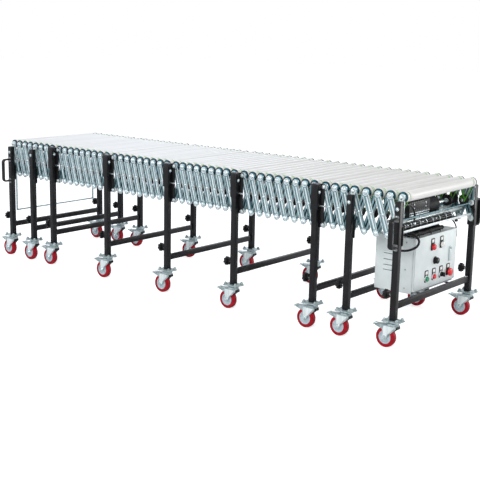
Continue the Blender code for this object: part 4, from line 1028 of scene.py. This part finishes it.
def strap_over(x, y, z, half, height, steps):
    """A flat-topped bow from side to side over what it holds down, as a path."""
    return [(x + half * cos(t), y, z + height * sin(t) ** 0.6) for t in [pi * i / steps for i in range(steps + 1)]]


for y in (-0.100, 0.015, 0.108):
    strap = strap_over(drive_end_x - 0.101, y, cabinet_top + 0.001, 0.062, 0.048, 18)
    graft(loom, bar_tree, loom_finishes, [strap], Radius=0.0022, Sides=6, Material=black_nylon)
for u in (-0.060, -0.088, -0.117, -0.146):
    for y, radius in ((0.132, 0.0105), (0.146, 0.0085), (0.157, 0.0105)):
        plug = [(0, 0), (radius, 0), (radius, 0.007), (radius - 0.002, 0.009), (0, 0.009)]
        turn(loom, plug, (drive_end_x + u, y, cabinet_top + 0.013), "Y", 12, 2)
loom = finished("wiring_loom", loom, *loom_finishes)
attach(loom, "drive_end")

# The cabinet's door: a folded pan on two hinges at its near edge, with the controls and two lamps.
door_front, door_back = drive_end_x - 0.028, drive_end_x - 0.040
door_foot, door_depth = cabinet_foot + 0.013, (door_back + 0.0004, door_front)
door = bmesh.new()
rounded_block(door, (door_front - sheet, door_front), span, (door_foot, cabinet_top), 0.004, "X")
for y in (cabinet_near, cabinet_far - sheet):
    rounded_block(door, door_depth, (y, y + sheet), (door_foot, cabinet_top), 0.0006, "X")
for z in (door_foot, cabinet_top - sheet):
    rounded_block(door, door_depth, span, (z, z + sheet), 0.0006, "X")
for z in (cabinet_foot + 0.060, cabinet_top - 0.060):
    hinge = (cabinet_near + 0.0015, cabinet_near + 0.022)
    rounded_block(door, (door_back + 0.0012, door_front - sheet), hinge, around(z, 0.016), 0.002, "X", 1)
door = finished("cabinet_door_pan", door, grey_sheet, pressed_zinc, edge=0.0008)
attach(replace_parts(door, "cabinet_door"), "door")


# Controls on the door: two push buttons, a selector, a mushroom stop, a dial and two lamps. Each has a chromed
# or black ring, and all but the dial sit in a black holder with a small blank legend insert at its top.
row_z, first_y, spacing = 0.2688, -0.0303, 0.0735
bezel_radius, bezel_height, button_radius, button_height = 0.018, 0.005, 0.0124, 0.012
lens_radius, stem_back, stem_radius = 0.0146, -0.008, 0.0108
# Moulded ABS and clear lenses: even, strong colours, smooth and half glossy from a polished mould.
start_green = surface("moulded_green_abs", "0d9468", "067a54", 0.01, 0.0008, 0.0001, 0.3)
stop_red = surface("moulded_red_abs", "ee2430", "d41826", 0.01, 0.0008, 0.0001, 0.3)
lamp_red = surface("red_lamp_lens", "e8222e", "c41422", 0.01, 0.0008, 0.0001, 0.15)
lamp_white = surface("white_lamp_lens", "f6f6f2", "e6e8e4", 0.01, 0.0008, 0.0001, 0.2)
# Inserts: matt white printed film. Rings: bright chromed plastic.
legend_white = surface("matt_white_legend_film", "fbfbfa", "f0f1f0", 0.01, 0.0008, 0.00005, 0.5)
chromed = surface(
    "chrome_plated_plastic_ring", "eef2f4", "b9c3c8", 0.006, 0.0006, 0.00005, 0.18, metallic=0.8
)
places = dict(zip(("start", "stop", "selector", "mushroom"), [(first_y + i * spacing, row_z) for i in range(4)]))
places |= {"dial": (0.0502, 0.3503), "red lamp": (0.0172, 0.4234), "white lamp": (0.1072, 0.4234)}
bore = button_radius + 0.0006
ring = [(bore, -0.001), (bezel_radius, -0.001), (bezel_radius, 0.003), (0.0156, bezel_height), (bore, bezel_height)]
bezels = bmesh.new()
for station, (y, z) in places.items():
    chrome = station in ("start", "stop", "selector")
    turn(bezels, ring, (door_front, y, z), "X", 28, 2 if chrome else 0, hollow=True)
    if station == "dial":
        rod(bezels, 0.0195, -0.001, 0.0018, (door_front, y, z), "X", 28)
        continue
    holder, insert = (z - 0.0180, z + 0.0430), (z + 0.0222, z + 0.0376)
    rounded_block(bezels, (door_front, door_front + 0.0022), around(y, 0.0172), holder, 0.006, "X")
    rounded_block(bezels, (door_front + 0.002, door_front + 0.0030), around(y, 0.0104), insert, 0.002, "X", 1)
bezels = finished("control_bezels", bezels, black_nylon, legend_white, chromed, edge=0.0003)
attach(bezels, "door")
lens_profile = [(0, -0.001), (button_radius, -0.001), (button_radius, 0.005), (lens_radius, 0.005)]
lens_profile += [(lens_radius, 0.0135), (0.0120, 0.0168), (0.006, 0.0180), (0, 0.0183)]
for name, station, material in (("red_lamp", "red lamp", lamp_red), ("white_lamp", "white lamp", lamp_white)):
    lens = bmesh.new()
    turn(lens, lens_profile, (door_front, *places[station]), "X", 28)
    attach(finished(name, lens, material), "door")
stem_side, stem_face = button_radius - 0.0002, button_height - 0.0008
stem = [(0, stem_back), (stem_side, stem_back), (stem_side, 0.0105), (button_radius - 0.001, button_height)]
stem += [(0.002, stem_face), (0, stem_face)]
mushroom = [(0, stem_back), (stem_radius, stem_back), (stem_radius, 0.0112), (0.0180, 0.0112), (0.0204, 0.0135)]
mushroom += [(0.0204, 0.0180), (0.0178, 0.0222), (0.010, 0.0246), (0, 0.0252)]
dial = [(0, stem_back), (stem_radius, stem_back), (stem_radius, 0.0054), (0.0156, 0.0054), (0.0152, 0.0165)]
dial += [(0.0138, 0.0196), (0.004, 0.0200), (0, 0.0200)]
for name, station, profile, material, slot in (
    ("start_button", "start", stem, start_green, "green_plastic"),
    ("stop_button", "stop", stem, stop_red, "red_plastic"),
    ("mode_selector", "selector", stem, black_nylon, "black_plastic"),
    ("emergency_stop", "mushroom", mushroom, stop_red, "red_plastic"),
    ("speed_dial", "dial", dial, black_nylon, "black_plastic"),
):
    control = bmesh.new()
    y, z = places[station]
    turn(control, profile, (door_front, y, z), "X", 32)
    if station == "selector":
        wing = (door_front + 0.011, door_front + 0.0255)
        rounded_block(control, wing, around(y, 0.0035), around(z, 0.0108), 0.0015, "X")
    if station == "dial":
        for u, v in arc(0.0153, 12, 0.0, 2 * pi)[:-1]:
            rod(control, 0.0012, 0.0062, 0.0165, (door_front, y + u, z + v), "X", 6)
        pointer = (door_front + 0.0198, door_front + 0.0204)
        rounded_block(control, pointer, around(y, 0.0008), (z + 0.002, z + 0.0110), 0.0004, "X", 1)
    control = finished(name + "_moulding", control, material, legend_white, edge=0.0004)
    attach(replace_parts(control, name), name)

# Door latch: a flat die cast zinc swing handle that turns on a stem at its top end. Its face is near-white, a painted
# highlight, in a thin darker rim, painted shade along its edge.
latch_y, latch_z, latch_length, latch_half = 0.1989, 0.3924, 0.080, 0.009
latch_foot = latch_z - latch_length + 2 * latch_half
latch = bmesh.new()
for top, foot, half, low, high, slot in (
    (latch_z, latch_foot, latch_half, 0.0003, 0.0030, 1),
    (latch_z, latch_foot, latch_half - 0.0016, 0.0028, 0.0060, 0),
    (latch_z - 0.018, latch_foot + 0.002, 0.0045, 0.0058, 0.0098, 0),
):
    handle = [(latch_y + u, v) for u, v in strip((0, top), (0, foot), half)]
    sweep(latch, handle, door_front + low, door_front + high, "X", slot)
stud = [(0, 0.004), (0.0068, 0.004), (0.0066, 0.0085), (0.0055, 0.0098), (0, 0.0098)]
turn(latch, stud, (door_front, latch_y, latch_z), "X", 20, 1)
rod(latch, 0.0078, -0.008, 0.001, (door_front, latch_y, latch_z), "X", 16)
latch = finished("latch_handle", latch, highlight_zinc, pressed_zinc, edge=0.0006)
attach(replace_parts(latch, "door_latch"), "latch")


# Drive: a black gearbox and a finned round motor stand on a bed plate, which two steel rods carry between the
# last links. A pulley on the shaft's far end drives the first belt.
last_axles = stretches[-1]["axles"]
rod_z, rod_radius, rod_end = 0.578, 0.007, 0.3472
rod_share = (rod_z - foot_z) / link_rise
rods = [left + rod_share * (right - left) for left, right in zip(last_axles[-3:], last_axles[-2:])]
bed_foot, bed_thickness = rod_z + rod_radius - 0.001, 0.004
motor_x, motor_foot, motor_radius = sum(rods) / 2, bed_foot + bed_thickness + seat_gap, 0.036
motor_z = motor_foot + motor_radius
carrier = bmesh.new()
# The rods are painted near-white zinc, a painted highlight along them.
for x in rods:
    rod(carrier, rod_radius, -rod_end, rod_end, (x, 0, rod_z), "Y", 20)
bed = (rods[0] - rod_radius, rods[1] + rod_radius)
rounded_block(carrier, bed, (-0.175, 0.105), (bed_foot, bed_foot + bed_thickness), 0.004, "Z", 1)
carrier = finished("drive_rods_and_bed", carrier, highlight_zinc, pressed_zinc, edge=0.0006)
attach(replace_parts(carrier, "drive_carrier"), "drive_end")

# Cast aluminium, enamelled black: a rough cast grain under a thin half matt coat.
motor_black = surface(
    "black_enamelled_cast_aluminium", "242529", "151619", 0.02, 0.0014, 0.0003, 0.42, Specular_IOR_Level=0.45
)
motor_finishes = (motor_black, bright_zinc, black_nylon)
gear_near, gear_far, gear_half, gear_height = -0.215, -0.025, 0.045, 0.084
shaft = (motor_x, 0, motor_z)
motor = bmesh.new()
gear_rise = (motor_foot, motor_foot + gear_height)
rounded_block(motor, around(motor_x, gear_half), (gear_near, gear_far), gear_rise, 0.006, "Y")
for y in [-0.200 + i * 0.020 for i in range(9)]:
    fin = (motor_foot + 0.034, motor_foot + gear_height + 0.001)
    rounded_block(motor, around(motor_x, gear_half + 0.0015), (y, y + 0.006), fin, 0.004, "Y", 0, 1)
for z, reach in ((0.0010, 0.0475), (0.0125, 0.0465), (0.0240, 0.0480)):
    band, flange = (motor_foot + z, motor_foot + z + 0.0065), (gear_near + 0.0005, gear_far - 0.0005)
    rounded_block(motor, around(motor_x, reach), flange, band, 0.002, "Y", 1, 1)
cover_face, cover_rise = motor_x + 0.0480, (motor_foot + 0.044, motor_foot + 0.074)
rounded_block(motor, (motor_x + 0.044, cover_face), (-0.185, -0.060), cover_rise, 0.004, "X", 2)
barrel = [(motor_x, -0.030 + i * 0.002, motor_z) for i in range(66)]
graft(
    motor, bar_tree, motor_finishes, [barrel],
    Radius=motor_radius, Sides=32, Rib_Points=4, Valley=0.10, Material=motor_black,
)
end_cap = [(0, 0.094), (motor_radius - 0.002, 0.094), (motor_radius - 0.002, 0.101), (motor_radius - 0.006, 0.105)]
turn(motor, end_cap + [(0, 0.105)], shaft, "Y", 32)
rod(motor, 0.007, 0.104, 0.250, shaft, "Y", 16, 1)
pulley = [(0, 0.232), (0.028, 0.232), (0.028, 0.235), (0.024, 0.238), (0.024, 0.243), (0.028, 0.246)]
pulley += [(0.028, 0.249), (0.012, 0.249), (0.012, 0.2495), (0, 0.2495)]
turn(motor, pulley, shaft, "Y", 36, 2)
turn(motor, [(0, 0.226), (0.011, 0.226), (0.012, 0.228), (0.012, 0.233), (0, 0.233)], shaft, "Y", 20, 1)
rounded_block(motor, around(motor_x, 0.016), (0.102, 0.134), (bed_foot + 0.0005, motor_foot + 0.022), 0.003, "Y", 2)
motor = finished("gearbox_and_motor", motor, *motor_finishes, edge=0.0006)
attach(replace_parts(motor, "drive_motor"), "drive_end")
screws = bmesh.new()
cover = [(cover_face, y, z) for y in (-0.178, -0.067) for z in (motor_foot + 0.050, motor_foot + 0.068)]
fasten(screws, (bright_zinc,), cover, "+X", 0.0036, 6, 0.0030, 0.0008, 0.0044)
flange = [(motor_x + u, gear_near, motor_z + 0.006 + v) for u, v in arc(0.029, 4, pi / 4, 2 * pi)[:-1]]
fasten(screws, (bright_zinc,), flange, "-Y", 0.0042, 6, 0.0034, 0.0008, 0.0052)
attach(finished("gearbox_screws", screws, bright_zinc), "drive_end")

# Lead tray: a folded black trough on the rail, with the drive's ribbed leads clipped down in it, and a tie rod. A
# bent black conduit pipe, clamped to the near upright link, runs down into it. A rubber stop hangs under the rail.
tray_finishes = (black_coat, sleeve_black, bright_zinc)
tray_back, tray_floor, tray_run = drive_end_x - 0.046, 0.5580, (-0.330, 0.200)
pipe_x, pipe_z, pipe_radius = drive_end_x - 0.016, 0.672, 0.0050
tray = bmesh.new()
rounded_block(tray, (tray_back, drive_end_x + 0.0035), tray_run, (tray_floor - 0.0018, tray_floor), 0.0006, "Y", 0, 1)
rounded_block(tray, (tray_back, tray_back + sheet), tray_run, (tray_floor - 0.0005, 0.5700), 0.0006, "Y", 0, 1)
for lead_x, radius, high, wave in (
    (-0.038, 0.0052, 0.0, 1.0), (-0.026, 0.0052, 0.0, 1.7), (-0.014, 0.0052, 0.0, 2.3),
    (-0.031, 0.0042, 0.0092, 2.9), (-0.019, 0.0042, 0.0092, 1.4),
):
    z = tray_floor + radius + high
    lead = [(drive_end_x + lead_x + 0.0014 * sin(wave * i / 5), -0.322 + 0.0032 * i, z) for i in range(160)]
    graft(tray, bar_tree, tray_finishes, [lead], Radius=radius, Sides=10, Valley=0.12, Material=sleeve_black)
for y in (-0.290, -0.235, -0.150, -0.090, -0.030, 0.040, 0.105, 0.165):
    clip = strap_over(drive_end_x - 0.026, y, tray_floor - 0.0005, 0.0185, 0.0235, 14)
    graft(tray, bar_tree, tray_finishes, [clip], Radius=0.0016, Sides=6, Material=bright_zinc)
for y, size in ((-0.262, 0.0085), (-0.120, 0.0075), (0.010, 0.0080)):
    plug = [(0, 0), (size, 0), (size, 0.012), (size - 0.002, 0.014), (size - 0.002, 0.026), (0, 0.026)]
    turn(tray, plug, (drive_end_x - 0.022, y, 0.5665), "Y", 6, 2)
rod(tray, 0.0055, -rod_end, rod_end, (drive_end_x - 0.055, 0, 0.5655), "Y", 16, 2)
pipe = [(pipe_x, -0.343, pipe_z), (pipe_x, -0.300, pipe_z)]
for t in [pi / 2 * i / 16 for i in range(17)]:
    pipe.append((pipe_x, -0.290 + 0.092 * sin(t), pipe_z - 0.062 + 0.062 * cos(t)))
pipe.append((pipe_x, -0.198, 0.566))
graft(tray, bar_tree, tray_finishes, [pipe], Radius=pipe_radius, Sides=14, Material=sleeve_black)
rod(tray, 0.0075, -rod_end, -0.3340, (pipe_x, 0, pipe_z), "Y", 16, 2)
rod(tray, 0.0080, 0.5640, 0.5760, (pipe_x, -0.198, 0), "Z", 6, 2)
rubber_stop = [(0, 0.5290), (0.0060, 0.5300), (0.0095, 0.5340), (0.0085, 0.5400), (0.0050, 0.5442), (0, 0.5442)]
turn(tray, rubber_stop, (drive_end_x, 0.195, 0), "Z", 16, 1)
tray = finished("lead_tray_and_tie_rod", tray, *tray_finishes, edge=0.0003)
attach(tray, "drive_end")

# The drive end's rail, the short upright links inside the last rollers and a guard rod across them, all zinc
# plated. The rod is bolted through the lower ends of the links.
# The rail and the links' raised edges take the near-white painted highlight; the links' webs and the guard rod take
# the darkened zinc of painted shade.
end_finishes = (highlight_zinc, shaded_zinc, bright_zinc)
upright_x, guard_z, guard_radius = last_axles[-1], cross_z - 0.014, 0.0036
ends = bmesh.new()
rounded_block(ends, around(drive_end_x, 0.004), around(0, 0.3515), (0.544, 0.556), 0.0015, "Y")
for side, way in both_sides:
    laid = link_turn((upright_x, axle_z), (upright_x, guard_z), side)
    graft(
        ends, link_tree, end_finishes, [[(upright_x, side * link_inner_face, axle_z)]], laid,
        Length=axle_z - guard_z, Width=0.029, Edge_Height=0.0048, Deep_Start=0.03, Deep_End=0.03,
        Material=shaded_zinc, Rubbed=highlight_zinc,
    )
    bolt = (upright_x, side * (link_inner_face + link_skin), guard_z)
    fasten(ends, end_finishes, [bolt], way, 0.0075, 6, 0.0030, 0.0018, 0.0100)
rod(ends, guard_radius, -link_inner_face, link_inner_face, (upright_x, 0, guard_z), "Y", 14, 1)
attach(finished("drive_end_rail", ends, *end_finishes, edge=0.0005), "drive_end")


# Free end hanger: a thin zinc strap down each side, pinned inside the first links, with a rod across. A short
# upright link stands outside each strap. All of it rides with the first leg frame.
strap_x, strap_foot, strap_top, strap_half = frame_x[1] - 0.016, 0.2820, 0.5480, 0.008
strap_place, strap_skin, tie_radius, tie_end = 0.3230, 0.002, 0.0048, 0.3262
hanger = bmesh.new()
for side in (-1, 1):
    strap = (side * strap_place, side * (strap_place + strap_skin))
    rounded_block(hanger, around(strap_x, strap_half), strap, (strap_foot, strap_top), 0.004, "Y", 1)
    pin = [(0, strap_place - 0.003), (pin_radius, strap_place - 0.003), (pin_radius, 0.3473), (0, 0.3473)]
    turn(hanger, [(r, side * y) for r, y in pin], (frame_x[1] - 0.011, 0, foot_z + 0.004), "Y", 12, 1)
    # The short upright links are painted near-white zinc, a painted highlight.
    half_link = strip((frame_x[1], cross_z), (frame_x[1], axle_z), link_width / 2)
    sweep(hanger, half_link, side * 0.3445, side * 0.3470, "Y")
rod(hanger, tie_radius, -tie_end, tie_end, (strap_x, 0, strap_foot + 0.0065), "Y", 12, 1)
hanger = finished("hanger_straps_and_rod", hanger, highlight_zinc, pressed_zinc, edge=0.0004)
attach(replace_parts(hanger, "free_end_hanger"), "frame_1")


# The room: a plain white floor, four soft lamps and a white world. What the camera sees of the world and the
# floor is white, and the object is lit at a level where its colours look as they are.
floor_glow, world_light, world_seen = 0.60, 0.47, 1.0
lamps_aim = Vector((0.3, 0, 0.4))
floor_shape = bmesh.new()
bmesh.ops.create_grid(floor_shape, x_segments=1, y_segments=1, size=30)
white_floor = surface("white_studio_floor", "fbfbfb", "f8f8f8", 0.6, 0.01, 0.0001, 0.85, drift=0.02)
tree = white_floor.node_tree
glow = add_node(tree, "ShaderNodeLightPath", output="Is Camera Ray")
glow = add_node(tree, "ShaderNodeMath", {0: glow, 1: floor_glow}, operation="MULTIPLY")
tree.nodes["Principled BSDF"].inputs["Emission Color"].default_value = colour("ffffff")
tree.links.new(glow, tree.nodes["Principled BSDF"].inputs["Emission Strength"])
floor = finished("studio_floor", floor_shape, white_floor)

world = bpy.data.worlds.new("white_studio")
bpy.context.scene.world = world
world.use_nodes = True
tree = world.node_tree
rays = add_node(tree, "ShaderNodeLightPath").node.outputs
seen = add_node(tree, "ShaderNodeMath", {0: rays["Is Camera Ray"], 1: rays["Is Glossy Ray"]}, operation="MAXIMUM")
seen = add_node(tree, "ShaderNodeMath", {0: seen, 1: rays["Is Transmission Ray"]}, operation="MAXIMUM")
strength = add_node(tree, "ShaderNodeMapRange", {"Value": seen, "To Min": world_light, "To Max": world_seen})
tree.nodes["Background"].inputs["Color"].default_value = colour("ffffff")
tree.links.new(strength, tree.nodes["Background"].inputs["Strength"])
for name, place, power, size, tint in (
    ("key", (2.4, -5.0, 3.2), 146, 2.4, "ffffff"),
    ("fill", (-3.6, -3.8, 3.0), 66, 3.0, "e6f0ff"),
    ("back", (-2.6, 3.6, 3.6), 69, 3.0, "dce9ff"),
    ("end", (4.4, 3.6, 1.2), 85, 2.0, "ffffff"),
):
    lamp = bpy.data.objects.new(name + "_lamp", bpy.data.lights.new(name + "_lamp", "AREA"))
    bpy.context.scene.collection.objects.link(lamp)
    lamp.data.energy, lamp.data.size, lamp.data.color = power, size, colour(tint)[:3]
    aim = (lamps_aim - Vector(place)).to_track_quat("-Z", "Y").to_matrix().to_4x4()
    lamp.matrix_world = Matrix.Translation(place) @ aim
bpy.context.scene.view_settings.view_transform = "Standard"
